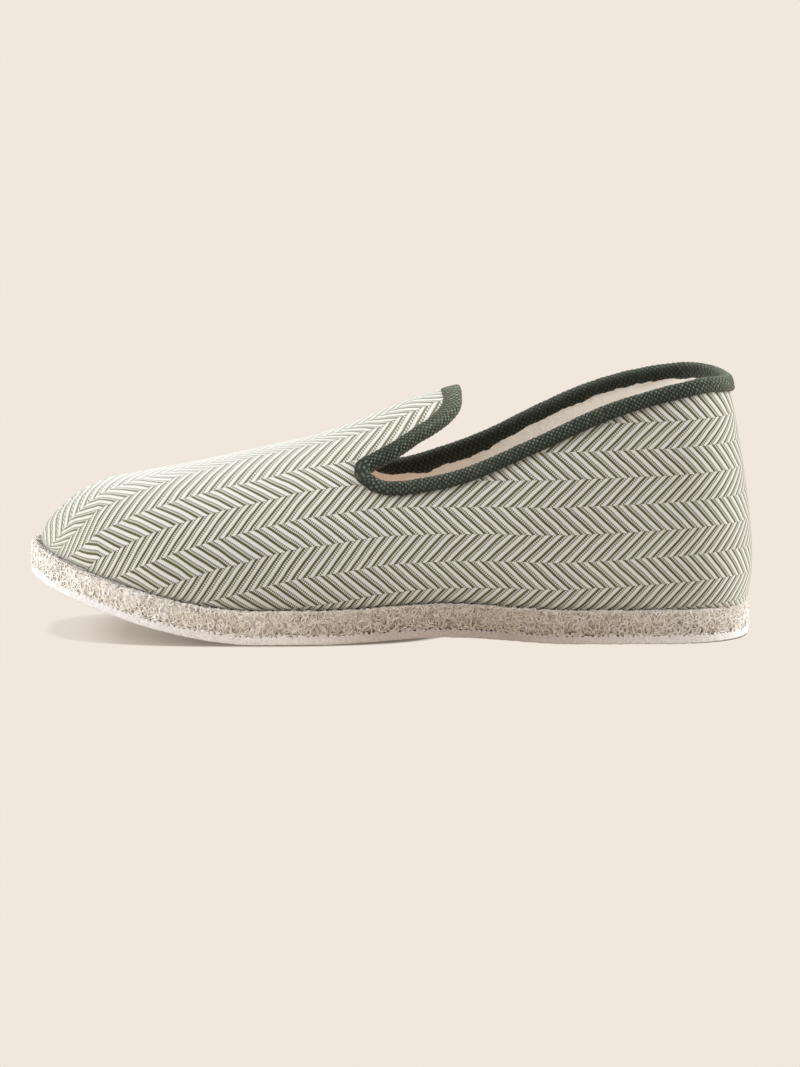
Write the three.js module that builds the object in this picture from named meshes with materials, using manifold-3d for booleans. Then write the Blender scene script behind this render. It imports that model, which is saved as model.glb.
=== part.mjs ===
// Felt-soled house slipper, left shoe, standing empty on a floor.
// Millimetres, +Z up, toe toward -X, heel toward +X, outer side toward -Y, inner side toward +Y.
// Each solid is a row of cross-sections through the last, one for each place along the foot.
// "along" is the distance from the back of the sole toward the toe.
import * as THREE from 'three';
import { mergeVertices } from 'three/addons/utils/BufferGeometryUtils.js';
import Module from 'manifold-3d';

const wasm = await Module();
wasm.setup();

// Last and sole outline
const SOLE_LENGTH = 269.5;
const BALL_WIDTH = 98;
const HEEL_WIDTH = 66;
const HEEL_ROUND = 34;          // length of the rounded heel end
const TOE_ROUND = 74;           // length of the rounded toe end
const TOE_SWING = 7;            // how far the toe tip lies toward the inner side
// Side profile of the sole
const TOE_SPRING = 23;          // height of the toe tip off the floor
const ARCH_LIFT = 2.4;          // lift of the waist off the floor
const EDGE_LIFT = 2.8;          // curl of the sole's edge at the ball
const OUTSOLE_THICKNESS = 2.8;
const FELT_THICKNESS = 9.2;
// Outsole rim
const RIM_THICKNESS = 0.9;
const TOOTH_PITCH = 5.2;
const TOOTH_HEIGHT = 1.3;
// Upper
const INSTEP_HEIGHT = 93;       // vamp ridge at the end of the tongue
const TOE_BOX_HEIGHT = 23;      // cloth above the felt where the toe rounds over
const WALL = 2.4;               // cloth with its lining
const SIDE_LEDGE = 1.2;         // felt showing beside the cloth
const TOE_LEDGE = 4.2;          // felt showing in front of the cloth
const HEEL_OVERHANG = 1;        // cloth bulging back past the felt
const TUCK = 2;                 // how far the cloth turns under its widest line
const HEEL_LEAN = 10;           // how far the collar leans forward of the heel's widest point
const TOE_CAP_ROUND = 28;       // length over which the ridge drops at the toe
// Collar
const HEEL_HEIGHT = 98.6;       // top of the tape at the back
const NOTCH_HEIGHT = 61.8;      // lowest point of the tape's top edge
const NOTCH_AT = 142;           // corner between tongue and quarter
const TONGUE_TIP_AT = 107.5;
const INNER_RISE = 3.6;         // how much higher the inner side of the collar runs
const TAPE_THICKNESS = 1.2;
const TAPE_WIDTH = 6.2;
// Insole
const INSOLE_THICKNESS = 3;
const INSOLE_CLEARANCE = 0.7;   // between the insole and the wall round it

const GAP = 0.3;                // clearance between neighbours that touch

const OUTER = -1;
const INNER = 1;
const sole = { start: 0, end: SOLE_LENGTH, inset: 0 };
const feltTop = OUTSOLE_THICKNESS + GAP + FELT_THICKNESS;

// Plan of the foot. ball: 0 where the heel width governs, 1 where the ball width does.
// outer and inner: half widths as shares of the governing half width.
const PLAN = [
  { at: 0.00, ball: 0.00, outer: 1.00, inner: 1.00 },
  { at: 0.17, ball: 0.00, outer: 1.02, inner: 1.00 },
  { at: 0.38, ball: 0.36, outer: 1.02, inner: 0.91 },
  { at: 0.55, ball: 0.80, outer: 1.01, inner: 0.93 },
  { at: 0.68, ball: 1.00, outer: 1.00, inner: 1.00 },
  { at: 0.80, ball: 1.00, outer: 0.97, inner: 1.01 },
  { at: 0.90, ball: 1.00, outer: 0.93, inner: 0.98 },
  { at: 1.00, ball: 1.00, outer: 0.90, inner: 0.94 },
];

// Edge curl of the sole, as shares of EDGE_LIFT.
const CURL = [
  { at: 0.00, lift: 0.15 },
  { at: 0.25, lift: 0.30 },
  { at: 0.48, lift: 0.85 },
  { at: 0.68, lift: 1.00 },
  { at: 1.00, lift: 0.60 },
];

// Cross-sections of the last. ridge: top, as a share of INSTEP_HEIGHT. belly: height of the widest
// line above the felt, as a share of TOE_BOX_HEIGHT. fullness: how square the shoulders are.
const LAST = [
  { at: 0.00, ridge: 1.340, belly: 0.66, fullness: 2.15 },
  { at: 0.20, ridge: 1.290, belly: 0.66, fullness: 2.15 },
  { at: 0.30, ridge: 1.130, belly: 0.62, fullness: 2.00 },
  { at: 0.36, ridge: 1.035, belly: 0.56, fullness: 1.80 },
  { at: 0.43, ridge: 0.984, belly: 0.50, fullness: 1.75 },
  { at: 0.48, ridge: 0.938, belly: 0.46, fullness: 1.80 },
  { at: 0.53, ridge: 0.876, belly: 0.44, fullness: 1.85 },
  { at: 0.60, ridge: 0.803, belly: 0.42, fullness: 1.95 },
  { at: 0.70, ridge: 0.735, belly: 0.38, fullness: 2.05 },
  { at: 0.80, ridge: 0.670, belly: 0.34, fullness: 2.20 },
  { at: 0.90, ridge: 0.612, belly: 0.30, fullness: 2.25 },
  { at: 1.00, ridge: 0.560, belly: 0.24, fullness: 2.25 },
];

// Top edge of the tape from the notch back to the heel. run: share of the way. rise: share of the
// climb from the notch to the heel. inner: share of INNER_RISE that the inner side adds there.
const TOPLINE = [
  { run: 0.012, rise: 0.050, inner: 0.00 },
  { run: 0.028, rise: 0.015, inner: 0.00 },
  { run: 0.055, rise: 0.000, inner: 0.00 },
  { run: 0.095, rise: 0.008, inner: 0.05 },
  { run: 0.150, rise: 0.035, inner: 0.30 },
  { run: 0.225, rise: 0.085, inner: 0.75 },
  { run: 0.310, rise: 0.195, inner: 1.00 },
  { run: 0.395, rise: 0.345, inner: 1.00 },
  { run: 0.480, rise: 0.500, inner: 1.00 },
  { run: 0.560, rise: 0.655, inner: 0.90 },
  { run: 0.625, rise: 0.760, inner: 0.80 },
  { run: 0.690, rise: 0.845, inner: 0.70 },
  { run: 0.755, rise: 0.915, inner: 0.55 },
  { run: 0.820, rise: 0.970, inner: 0.40 },
  { run: 0.875, rise: 1.000, inner: 0.20 },
  { run: 0.925, rise: 0.985, inner: 0.05 },
  { run: 0.955, rise: 0.940, inner: 0.00 },
  { run: 1.000, rise: 0.910, inner: 0.00 },
];

// Free edge of the tongue from the notch to its tip. run: share of the way along the foot.
// climb: share of the climb from the notch to the instep.
const TONGUE_EDGE = [
  { run: 0.000, climb: 0.096 },
  { run: 0.060, climb: 0.148 },
  { run: 0.290, climb: 0.278 },
  { run: 0.560, climb: 0.467 },
  { run: 0.735, climb: 0.575 },
  { run: 0.875, climb: 0.690 },
  { run: 0.965, climb: 0.815 },
  { run: 1.000, climb: 0.930 },
  { run: 0.990, climb: 1.080 },
];

const FLAT_SHARE = 0.5;         // share of the sole's width that lies level
const CROSS_STEPS = 20;         // sides of each section of the last
const SECTION_STEP = 11;        // distance between sections along the foot
const END_STEPS = 7;            // sections in each rounded end
const HEADROOM = 60;            // how far the cutting shapes reach past the slipper
const CURVE_STEPS = 44;         // straight pieces round one side of the collar

// A value between the rows of a table, on a smooth curve.
function lookup(table, column, at, key = 'at') {
  let i = 0;
  while (i < table.length - 2 && at > table[i + 1][key]) i += 1;
  const before = table[Math.max(i - 1, 0)];
  const a = table[i];
  const b = table[i + 1];
  const after = table[Math.min(i + 2, table.length - 1)];
  const span = b[key] - a[key];
  const t = THREE.MathUtils.clamp((at - a[key]) / span, 0, 1);
  const slopeA = (b[column] - before[column]) / Math.max(b[key] - before[key], span);
  const slopeB = (after[column] - a[column]) / Math.max(after[key] - a[key], span);
  const t2 = t * t;
  const t3 = t2 * t;
  return (2 * t3 - 3 * t2 + 1) * a[column] + (t3 - 2 * t2 + t) * span * slopeA
    + (3 * t2 - 2 * t3) * b[column] + (t3 - t2) * span * slopeB;
}

// 1 in the body of the foot, falling to 0 at a rounded end.
function roundedEnd(fromEnd, length, power) {
  const u = THREE.MathUtils.clamp(1 - fromEnd / length, 0, 1);
  return (1 - u ** power) ** (1 / power);
}

// Line that the foot's halves are measured from: it swings inward toward the toe.
function centreLine(along) {
  const ball = SOLE_LENGTH - TOE_ROUND;
  const u = THREE.MathUtils.clamp((along - ball) / TOE_ROUND, 0, 1);
  return TOE_SWING * u * u;
}

// Half width of the sole in the body of the foot, before its ends are rounded.
function bodyHalf(along, side) {
  const share = along / SOLE_LENGTH;
  const governing = THREE.MathUtils.lerp(HEEL_WIDTH, BALL_WIDTH, lookup(PLAN, 'ball', share)) / 2;
  return governing * lookup(PLAN, side === OUTER ? 'outer' : 'inner', share);
}

// Side of an outline that starts and ends at the given places, drawn in by inset.
function planEdge(along, side, { start, end, inset }) {
  const ends = roundedEnd(along - start, HEEL_ROUND, 2.1) * roundedEnd(end - along, TOE_ROUND, 2.25);
  return centreLine(along) + side * (bodyHalf(along, side) - inset) * ends;
}

// Underside of the sole on the centre line: flat heel and ball, lifted waist, sprung toe.
function restHeight(along) {
  const heelFlat = 0.24 * SOLE_LENGTH;
  const ballFlat = 0.60 * SOLE_LENGTH;
  const springFrom = 0.68 * SOLE_LENGTH;
  if (along > springFrom) {
    const share = Math.min(along, SOLE_LENGTH) - springFrom;
    return TOE_SPRING * (share / (SOLE_LENGTH - springFrom)) ** 1.7;
  }
  if (along < heelFlat || along > ballFlat) return 0;
  return ARCH_LIFT * Math.sin(Math.PI * (along - heelFlat) / (ballFlat - heelFlat)) ** 2;
}

// Height of a layer of the sole: level over its middle half, curling up toward both edges.
function soleHeight(along, y, level) {
  const across = y - centreLine(along);
  const half = bodyHalf(along, across < 0 ? OUTER : INNER);
  const edge = Math.max(Math.abs(across) / half - FLAT_SHARE, 0) / (1 - FLAT_SHARE);
  return restHeight(along) + EDGE_LIFT * lookup(CURL, 'lift', along / SOLE_LENGTH) * edge + level;
}

// Points across one layer from the outer edge to the inner one, with a knee where the curl starts.
function acrossLayer(along, level, plan) {
  const middle = centreLine(along);
  const edgeAndKnee = (side) => {
    const reach = Math.max(Math.abs(planEdge(along, side, plan) - middle), GAP);
    const knee = Math.min(FLAT_SHARE * bodyHalf(along, side), 0.9 * reach);
    return [middle + side * reach, middle + side * knee];
  };
  return [...edgeAndKnee(OUTER), ...edgeAndKnee(INNER).toReversed()].map((y) => new THREE.Vector3(
    -along, y, soleHeight(along, y, level)));
}

// Places along the foot for the sections, close together in the rounded ends.
function sectionPlaces(start, end) {
  const places = [];
  for (let i = 1; i <= END_STEPS; i += 1) {
    const turn = (Math.PI / 2) * (i / END_STEPS) ** 1.15;
    places.push(start + HEEL_ROUND * (1 - Math.cos(turn)));
  }
  const bodyEnd = end - TOE_ROUND;
  const bodyStart = start + HEEL_ROUND;
  const count = Math.round((bodyEnd - bodyStart) / SECTION_STEP);
  for (let i = 1; i < count; i += 1) {
    places.push(THREE.MathUtils.lerp(bodyStart, bodyEnd, i / count));
  }
  const toeSteps = END_STEPS + 4;
  for (let i = toeSteps; i >= 1; i -= 1) {
    const turn = (Math.PI / 2) * (i / toeSteps) ** 1.15;
    places.push(end - TOE_ROUND * (1 - Math.cos(turn)));
  }
  return places;
}

// Closed solid through rings of equal length, with a flat cap at each end.
function loft(rings) {
  const sides = rings[0].length;
  const positions = rings.flat().flatMap((point) => point.toArray());
  const triangles = [];
  for (let i = 0; i < rings.length - 1; i += 1) {
    for (let j = 0; j < sides; j += 1) {
      const next = (j + 1) % sides;
      const a = i * sides + j;
      const b = i * sides + next;
      const c = a + sides;
      const d = b + sides;
      triangles.push(a, b, d, a, d, c);
    }
  }
  // Each cap is a ladder between the ring's two halves, so it follows a leaning end.
  for (const ring of [0, rings.length - 1]) {
    const face = (a, b, c) => {
      const corners = [a, b, c].map((corner) => ring * sides + corner);
      triangles.push(...(ring === 0 ? corners.toReversed() : corners));
    };
    for (let low = 0, high = sides - 1; high - low > 1; low += 1, high -= 1) {
      face(low, low + 1, high);
      if (high - 1 > low + 1) face(low + 1, high - 1, high);
    }
  }
  return toSolid(positions, triangles);
}

function toSolid(positions, triangles) {
  const mesh = new wasm.Mesh({
    numProp: 3,
    vertProperties: Float32Array.from(positions),
    triVerts: Uint32Array.from(triangles),
  });
  return new wasm.Manifold(mesh);
}

function fromGeometry(geometry) {
  const bare = geometry.clone();
  bare.deleteAttribute('normal');
  bare.deleteAttribute('uv');
  const merged = mergeVertices(bare, 1e-4);
  return toSolid(merged.attributes.position.array, merged.index.array);
}

// Slab between two levels above the sole's underside.
function soleLayer(bottom, top, plan, places) {
  return loft(places.map((along) => [...acrossLayer(along, top, plan),
    ...acrossLayer(along, bottom, plan).toReversed()]));
}

// Section of the last, drawn in by inset, from the outer side over the ridge to the inner side.
function lastSection(along, inset) {
  const start = inset - HEEL_OVERHANG;
  const end = SOLE_LENGTH - TOE_LEDGE - inset;
  const share = THREE.MathUtils.clamp(along / SOLE_LENGTH, 0, 1);
  const plan = { start, end, inset: SIDE_LEDGE + inset };
  const outer = planEdge(along, OUTER, plan);
  const inner = planEdge(along, INNER, plan);
  const foot = soleHeight(along, outer, feltTop + GAP);
  const drop = roundedEnd(end - along, TOE_CAP_ROUND, 2);
  const ridge = foot + drop * (lookup(LAST, 'ridge', share) * INSTEP_HEIGHT - foot - inset);
  const belly = foot + drop * lookup(LAST, 'belly', share) * TOE_BOX_HEIGHT;
  const power = lookup(LAST, 'fullness', share);
  const top = centreLine(along);
  const points = [];
  const place = (y, z) => {
    points.push(new THREE.Vector3(heelLine(along, z), y, z));
  };
  const wrap = (edge) => {
    const half = Math.max(Math.abs(edge - top), TUCK);
    const tuck = (edge - top) * Math.max(1 - TUCK / half, 0.5);
    return [[top + tuck, foot - 3 * TUCK], [top + tuck, foot], [top + (tuck + edge - top) / 2,
      (2 * foot + belly) / 3]];
  };
  wrap(outer).forEach(([y, z]) => place(y, z));
  for (let i = 0; i <= CROSS_STEPS; i += 1) {
    const turn = Math.PI * i / CROSS_STEPS;
    const edge = turn < Math.PI / 2 ? outer : inner;
    const shareOut = Math.abs(Math.cos(turn)) ** (2 / power);
    const shareUp = Math.sin(turn) ** (2 / power);
    place(top + (edge - top) * shareOut, belly + (ridge - belly) * shareUp);
  }
  wrap(inner).toReversed().forEach(([y, z]) => place(y, z));
  return points;
}

// The heel leans forward above its widest line and tucks in under it, and straight on farther ahead.
function heelLine(along, z) {
  const widest = 0.3 * HEEL_HEIGHT;
  const above = Math.max(z - widest, 0) / (HEEL_HEIGHT - widest);
  const below = Math.max(widest - z, 0) / (widest - OUTSOLE_THICKNESS - FELT_THICKNESS);
  const lean = HEEL_LEAN * above ** 1.5 + TUCK * Math.min(below, 1.4) ** 2;
  const fade = THREE.MathUtils.clamp(1 - along / (0.35 * SOLE_LENGTH), 0, 1);
  return -(along + lean * fade * fade);
}

function lastForm(inset) {
  const places = sectionPlaces(inset - HEEL_OVERHANG, SOLE_LENGTH - TOE_LEDGE - inset);
  return loft(places.map((along) => lastSection(along, inset)));
}

// Opening of the collar seen from one side, as a closed outline, grown into the cloth by grow.
function openingOutline(side, grow) {
  const topline = TOPLINE.map(({ run, rise, inner }) => new THREE.Vector2(
    NOTCH_AT * (1 - run),
    THREE.MathUtils.lerp(NOTCH_HEIGHT, HEEL_HEIGHT, rise) + (side === INNER ? inner * INNER_RISE : 0),
  ));
  const tongue = TONGUE_EDGE.map(({ run, climb }) => new THREE.Vector2(
    THREE.MathUtils.lerp(NOTCH_AT, TONGUE_TIP_AT, run),
    THREE.MathUtils.lerp(NOTCH_HEIGHT, INSTEP_HEIGHT, climb),
  ));
  const path = new THREE.SplineCurve([...tongue.toReversed(), ...topline]);
  const edge = path.getPoints(CURVE_STEPS);
  const grown = edge.map((point, i) => {
    const before = edge[Math.max(i - 1, 0)];
    const after = edge[Math.min(i + 1, edge.length - 1)];
    const run = after.clone().sub(before).normalize();
    return point.clone().add(new THREE.Vector2(-run.y, run.x).multiplyScalar(grow));
  });
  return [new THREE.Vector2(grown[0].x, HEEL_HEIGHT + HEADROOM), ...grown,
    new THREE.Vector2(-HEADROOM, grown.at(-1).y), new THREE.Vector2(-HEADROOM, HEEL_HEIGHT + HEADROOM)];
}

// The same opening as a solid that reaches from the centre out past each side.
function openingCut(grow) {
  const halves = [OUTER, INNER].map((side) => {
    const outline = openingOutline(side, grow).map((p) => new THREE.Vector2(-p.x, p.y));
    const depth = BALL_WIDTH / 2 + HEADROOM;
    const geometry = new THREE.ExtrudeGeometry(new THREE.Shape(outline), { depth, bevelEnabled: false });
    geometry.rotateX(Math.PI / 2);
    if (side === INNER) geometry.translate(0, depth, 0);
    return fromGeometry(geometry);
  });
  return halves[0].add(halves[1]);
}

// Places a tooth's half pitch apart along the outer edge of the sole.
function toothPlaces() {
  const fine = 900;
  const edge = [];
  for (let i = 0; i <= fine; i += 1) {
    const along = SOLE_LENGTH * (1 - Math.cos(Math.PI * i / fine)) / 2;
    edge.push(new THREE.Vector3(along, planEdge(along, OUTER, sole), restHeight(along)));
  }
  let length = 0;
  const reach = edge.map((point, i) => {
    length += i ? point.distanceTo(edge[i - 1]) : 0;
    return length;
  });
  const count = Math.round(length / (TOOTH_PITCH / 2));
  const places = [];
  for (let k = 1; k < count; k += 1) {
    const wanted = (k - 0.5) * length / (count - 1);
    places.push(edge[reach.findIndex((value) => value >= wanted)].x);
  }
  return places;
}

// Thin white sole, with a toothed rim that stands up around the foot of the felt.
function outsole() {
  const inside = { start: RIM_THICKNESS, end: SOLE_LENGTH - RIM_THICKNESS, inset: RIM_THICKNESS };
  return loft(toothPlaces().map((along, i) => {
    const uneven = 0.8 + 0.2 * Math.sin(2.4 * i);
    const tooth = (i % 2 ? 0.25 : 1) * uneven * TOOTH_HEIGHT;
    const underside = acrossLayer(along, 0, sole);
    const top = acrossLayer(along, OUTSOLE_THICKNESS, inside);
    const raised = (point) => point.clone().add(new THREE.Vector3(0, 0, tooth));
    const outside = acrossLayer(along, OUTSOLE_THICKNESS + tooth, sole);
    return [outside[0], raised(top[0]), ...top, raised(top.at(-1)), outside.at(-1),
      ...underside.toReversed()];
  }));
}

// Felt that the outsole's rim surrounds.
function midsole() {
  const draw = RIM_THICKNESS + GAP;
  const plan = { start: draw, end: SOLE_LENGTH - draw, inset: draw };
  return soleLayer(OUTSOLE_THICKNESS + GAP, feltTop, plan, sectionPlaces(plan.start, plan.end));
}

// Everything under a level above the sole's underside, well past its outline.
function below(level) {
  const plan = { start: -HEADROOM, end: SOLE_LENGTH + 2 * HEADROOM, inset: -HEADROOM };
  const places = [-HEADROOM / 2, ...sectionPlaces(0, SOLE_LENGTH), SOLE_LENGTH + HEADROOM / 2];
  return soleLayer(-HEADROOM, level, plan, places);
}

function insole() {
  const blank = below(feltTop + GAP + INSOLE_THICKNESS).subtract(below(feltTop + GAP));
  return blank.intersect(lastForm(WALL + INSOLE_CLEARANCE));
}

function upper() {
  return lastForm(0).subtract(lastForm(WALL))
    .subtract(below(feltTop + GAP))
    .subtract(openingCut(TAPE_THICKNESS + GAP));
}

// Tape folded over the collar's edge, clear of the cloth inside the fold.
function binding() {
  const band = openingCut(TAPE_WIDTH).subtract(openingCut(0));
  const folded = lastForm(-GAP - TAPE_THICKNESS).subtract(lastForm(WALL + GAP + TAPE_THICKNESS));
  const fold = lastForm(-GAP).subtract(lastForm(WALL + GAP)).subtract(openingCut(TAPE_THICKNESS));
  return folded.intersect(band).subtract(fold);
}

const PIECES = [
  { name: 'outsole', make: outsole, colour: 0xf0ece8, roughness: 0.7 },
  { name: 'midsole', make: midsole, colour: 0xcdbeaa, roughness: 1 },
  { name: 'insole', make: insole, colour: 0xe1d7c8, roughness: 1 },
  { name: 'upper', make: upper, colour: 0xbfc0a8, roughness: 0.95 },
  { name: 'binding', make: binding, colour: 0x32372d, roughness: 0.95 },
];

const slipper = new THREE.Group();
for (const { name, make, colour, roughness } of PIECES) {
  const cut = make().getMesh();
  const geometry = new THREE.BufferGeometry();
  geometry.setAttribute('position', new THREE.BufferAttribute(cut.vertProperties, 3));
  geometry.setIndex(new THREE.BufferAttribute(cut.triVerts, 1));
  const material = new THREE.MeshStandardMaterial({ color: colour, roughness, metalness: 0 });
  const mesh = new THREE.Mesh(geometry, material);
  mesh.name = name;
  slipper.add(mesh);
}

// Origin on the floor, under the middle of the slipper.
const box = new THREE.Box3().setFromObject(slipper);
const middle = box.getCenter(new THREE.Vector3());
slipper.position.set(-middle.x, -middle.y, -box.min.z);
slipper.updateMatrixWorld(true);

export default slipper;
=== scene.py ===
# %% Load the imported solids
import math
import random

import bmesh
import bpy
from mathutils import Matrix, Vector, noise
from mathutils.bvhtree import BVHTree


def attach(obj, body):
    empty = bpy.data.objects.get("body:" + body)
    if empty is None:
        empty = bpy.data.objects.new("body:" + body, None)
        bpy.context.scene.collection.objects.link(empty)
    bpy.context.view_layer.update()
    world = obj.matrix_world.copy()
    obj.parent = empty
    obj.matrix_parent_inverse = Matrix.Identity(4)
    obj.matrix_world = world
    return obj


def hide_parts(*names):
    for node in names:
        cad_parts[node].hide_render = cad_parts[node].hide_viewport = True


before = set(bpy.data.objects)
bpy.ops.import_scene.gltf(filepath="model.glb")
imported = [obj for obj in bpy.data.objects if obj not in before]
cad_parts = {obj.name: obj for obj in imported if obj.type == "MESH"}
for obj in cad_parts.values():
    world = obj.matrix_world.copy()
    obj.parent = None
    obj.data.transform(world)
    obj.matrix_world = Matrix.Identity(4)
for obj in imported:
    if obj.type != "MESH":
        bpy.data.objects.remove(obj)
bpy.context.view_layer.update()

print("solids:", sorted(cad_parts))

# %% [markdown]
# The slipper is a felt sole with a cloth upper pulled over a last, and every piece follows that
# last. So the lesson starts with the last's own sizes, in millimetres: "along" is the distance from
# the back of the sole toward the toe. The same few sizes and short tables that shaped the solids
# shape the fine surfaces, so the cloth, lining, tape and felt fit each other without fitting by eye.

# %% Sizes of the last, in millimetres
MM = 0.001
MERGE = 0.02                   # vertices this close, in mm, become one
SOLE_LENGTH, BALL_WIDTH, HEEL_WIDTH = 269.5, 98, 66
HEEL_ROUND, TOE_ROUND, TOE_SWING = 34, 74, 7
TOE_SPRING, ARCH_LIFT, EDGE_LIFT = 23, 2.4, 2.8
OUTSOLE_THICKNESS, FELT_THICKNESS, RIM_THICKNESS = 2.8, 9.2, 0.9
INSTEP_HEIGHT, TOE_BOX_HEIGHT, WALL = 93, 23, 2.4
SIDE_LEDGE, TOE_LEDGE, HEEL_OVERHANG = 1.2, 4.2, 1
TUCK, HEEL_LEAN, TOE_CAP_ROUND = 2, 10, 28
HEEL_HEIGHT, NOTCH_HEIGHT, NOTCH_AT, TONGUE_TIP_AT = 98.6, 61.8, 142, 107.5
INNER_RISE, GAP = 4.7, 0.3
FELT_TOP = OUTSOLE_THICKNESS + GAP + FELT_THICKNESS
OUTER, INNER = -1, 1
HEEL_X, MIDDLE_Y = 134.495, -0.356      # back and middle of the sole in the frame
FRAME_LENGTH = 270
print(f"felt top {FELT_TOP} mm above the sole's underside")

# %% Tables of the last
PLAN = {
    "at": (0, .17, .38, .55, .68, .80, .90, 1),
    "ball": (0, 0, .36, .80, 1, 1, 1, 1),
    "outer": (1, 1.02, 1.02, 1.01, 1, .97, .93, .90),
    "inner": (1, 1, .91, .93, 1, 1.01, .98, .94),
}
CURL = {"at": (0, .25, .48, .68, 1), "lift": (.15, .30, .85, 1, .60)}
LAST = {
    "at": (0, .20, .30, .36, .43, .48, .53, .60, .70, .80, .90, 1),
    "ridge": (1.340, 1.290, 1.130, 1.035, .984, .938, .876, .803, .735, .670, .612, .560),
    "belly": (.66, .66, .62, .56, .50, .46, .44, .42, .38, .34, .30, .24),
    "fullness": (2.15, 2.15, 2, 1.8, 1.75, 1.8, 1.85, 1.95, 2.05, 2.2, 2.25, 2.25),
}
TOPLINE = {
    "run": (.012, .028, .055, .095, .150, .225, .310, .395, .480, .560, .625, .690, .755, .820,
            .875, .925, .955, 1),
    "rise": (.050, .015, 0, .008, .040, .100, .217, .365, .517, .664, .764, .845, .912, .968,
             1, .985, .940, .910),
    "inner": (0, 0, 0, .05, .30, .66, .82, .93, 1, .90, .80, .70, .55, .40, .20, .05, 0, 0),
}
TONGUE_EDGE = {
    "run": (0, .060, .290, .560, .735, .875, .965, .985, .940),
    "climb": (.096, .148, .278, .467, .575, .690, .815, .930, 1.065),
}


def clamp(value, low=0.0, high=1.0):
    return min(max(value, low), high)


def mix(a, b, share):
    return a + (b - a) * share


def lookup(table, column, at):
    """A value between a table's rows, on a smooth curve."""
    places, values = table["at"], table[column]
    i = 0
    while i < len(places) - 2 and at > places[i + 1]:
        i += 1
    before, after = max(i - 1, 0), min(i + 2, len(places) - 1)
    span = places[i + 1] - places[i]
    t = clamp((at - places[i]) / span)
    slope_a = (values[i + 1] - values[before]) / max(places[i + 1] - places[before], span)
    slope_b = (values[after] - values[i]) / max(places[after] - places[i], span)
    t2, t3 = t * t, t * t * t
    return ((2 * t3 - 3 * t2 + 1) * values[i] + (t3 - 2 * t2 + t) * span * slope_a
            + (3 * t2 - 2 * t3) * values[i + 1] + (t3 - t2) * span * slope_b)


def between(table, column, at):
    """A value between a table's rows, on straight lines."""
    places, values = table["at"], table[column]
    for i in range(len(places) - 1):
        if at <= places[i + 1]:
            return mix(values[i], values[i + 1], clamp((at - places[i]) / (places[i + 1] - places[i])))
    return values[-1]


print("tables of", len(LAST["at"]), "sections and", len(TOPLINE["run"]), "collar places")

# %% [markdown]
# Seen from above, the sole is a round heel, a waist and a round toe, each side with its own curve.
# Seen from the side it rests on heel and ball, lifts a little at the waist and springs up at the
# toe. Both are written as functions of "along", so that every layer and the last can ask them for
# its edge and its height at any place, and no layer needs an outline of its own.

# %% The sole's outline and heights
def rounded_end(from_end, length, power):
    u = clamp(1 - from_end / length)
    return (1 - u ** power) ** (1 / power)


def centre_line(along):
    u = clamp((along - (SOLE_LENGTH - TOE_ROUND)) / TOE_ROUND)
    return TOE_SWING * u * u


def body_half(along, side):
    share = along / SOLE_LENGTH
    governing = mix(HEEL_WIDTH, BALL_WIDTH, lookup(PLAN, "ball", share)) / 2
    return governing * lookup(PLAN, "outer" if side == OUTER else "inner", share)


def plan_edge(along, side, start, end, inset):
    ends = rounded_end(along - start, HEEL_ROUND, 2.1) * rounded_end(end - along, TOE_ROUND, 2.25)
    return centre_line(along) + side * (body_half(along, side) - inset) * ends


def rest_height(along):
    heel_flat, ball_flat, spring_from = 0.24 * SOLE_LENGTH, 0.60 * SOLE_LENGTH, 0.68 * SOLE_LENGTH
    if along > spring_from:
        share = (min(along, SOLE_LENGTH) - spring_from) / (SOLE_LENGTH - spring_from)
        return TOE_SPRING * share ** 1.7
    if along < heel_flat or along > ball_flat:
        return 0.0
    return ARCH_LIFT * math.sin(math.pi * (along - heel_flat) / (ball_flat - heel_flat)) ** 2


def sole_height(along, y, level):
    across = y - centre_line(along)
    half = body_half(along, OUTER if across < 0 else INNER)
    edge = max(abs(across) / half - 0.5, 0) / 0.5
    return rest_height(along) + EDGE_LIFT * lookup(CURL, "lift", along / SOLE_LENGTH) * edge + level


def in_frame(along, y, z):
    return Vector((HEEL_X - along, y + MIDDLE_Y, z)) * MM


print("ball width", round(body_half(183, OUTER) + body_half(183, INNER), 1), "mm")

# %% [markdown]
# The last is a row of cross-sections. Each is a rounded arch that stands on the felt, widest low down
# at the belly and highest at the ridge, and its shoulders are fullest at the heel and the toe. An
# arch like that is one formula, a superellipse, with its sizes read from the tables.

# %% Sections of the last
def heel_lean(along, z):
    widest = 0.3 * HEEL_HEIGHT
    above = max(z - widest, 0) / (HEEL_HEIGHT - widest)
    below = max(widest - z, 0) / (widest - OUTSOLE_THICKNESS - FELT_THICKNESS)
    fade = clamp(1 - along / (0.35 * SOLE_LENGTH))
    return (HEEL_LEAN * above ** 1.5 + TUCK * min(below, 1.4) ** 2) * fade * fade


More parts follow.
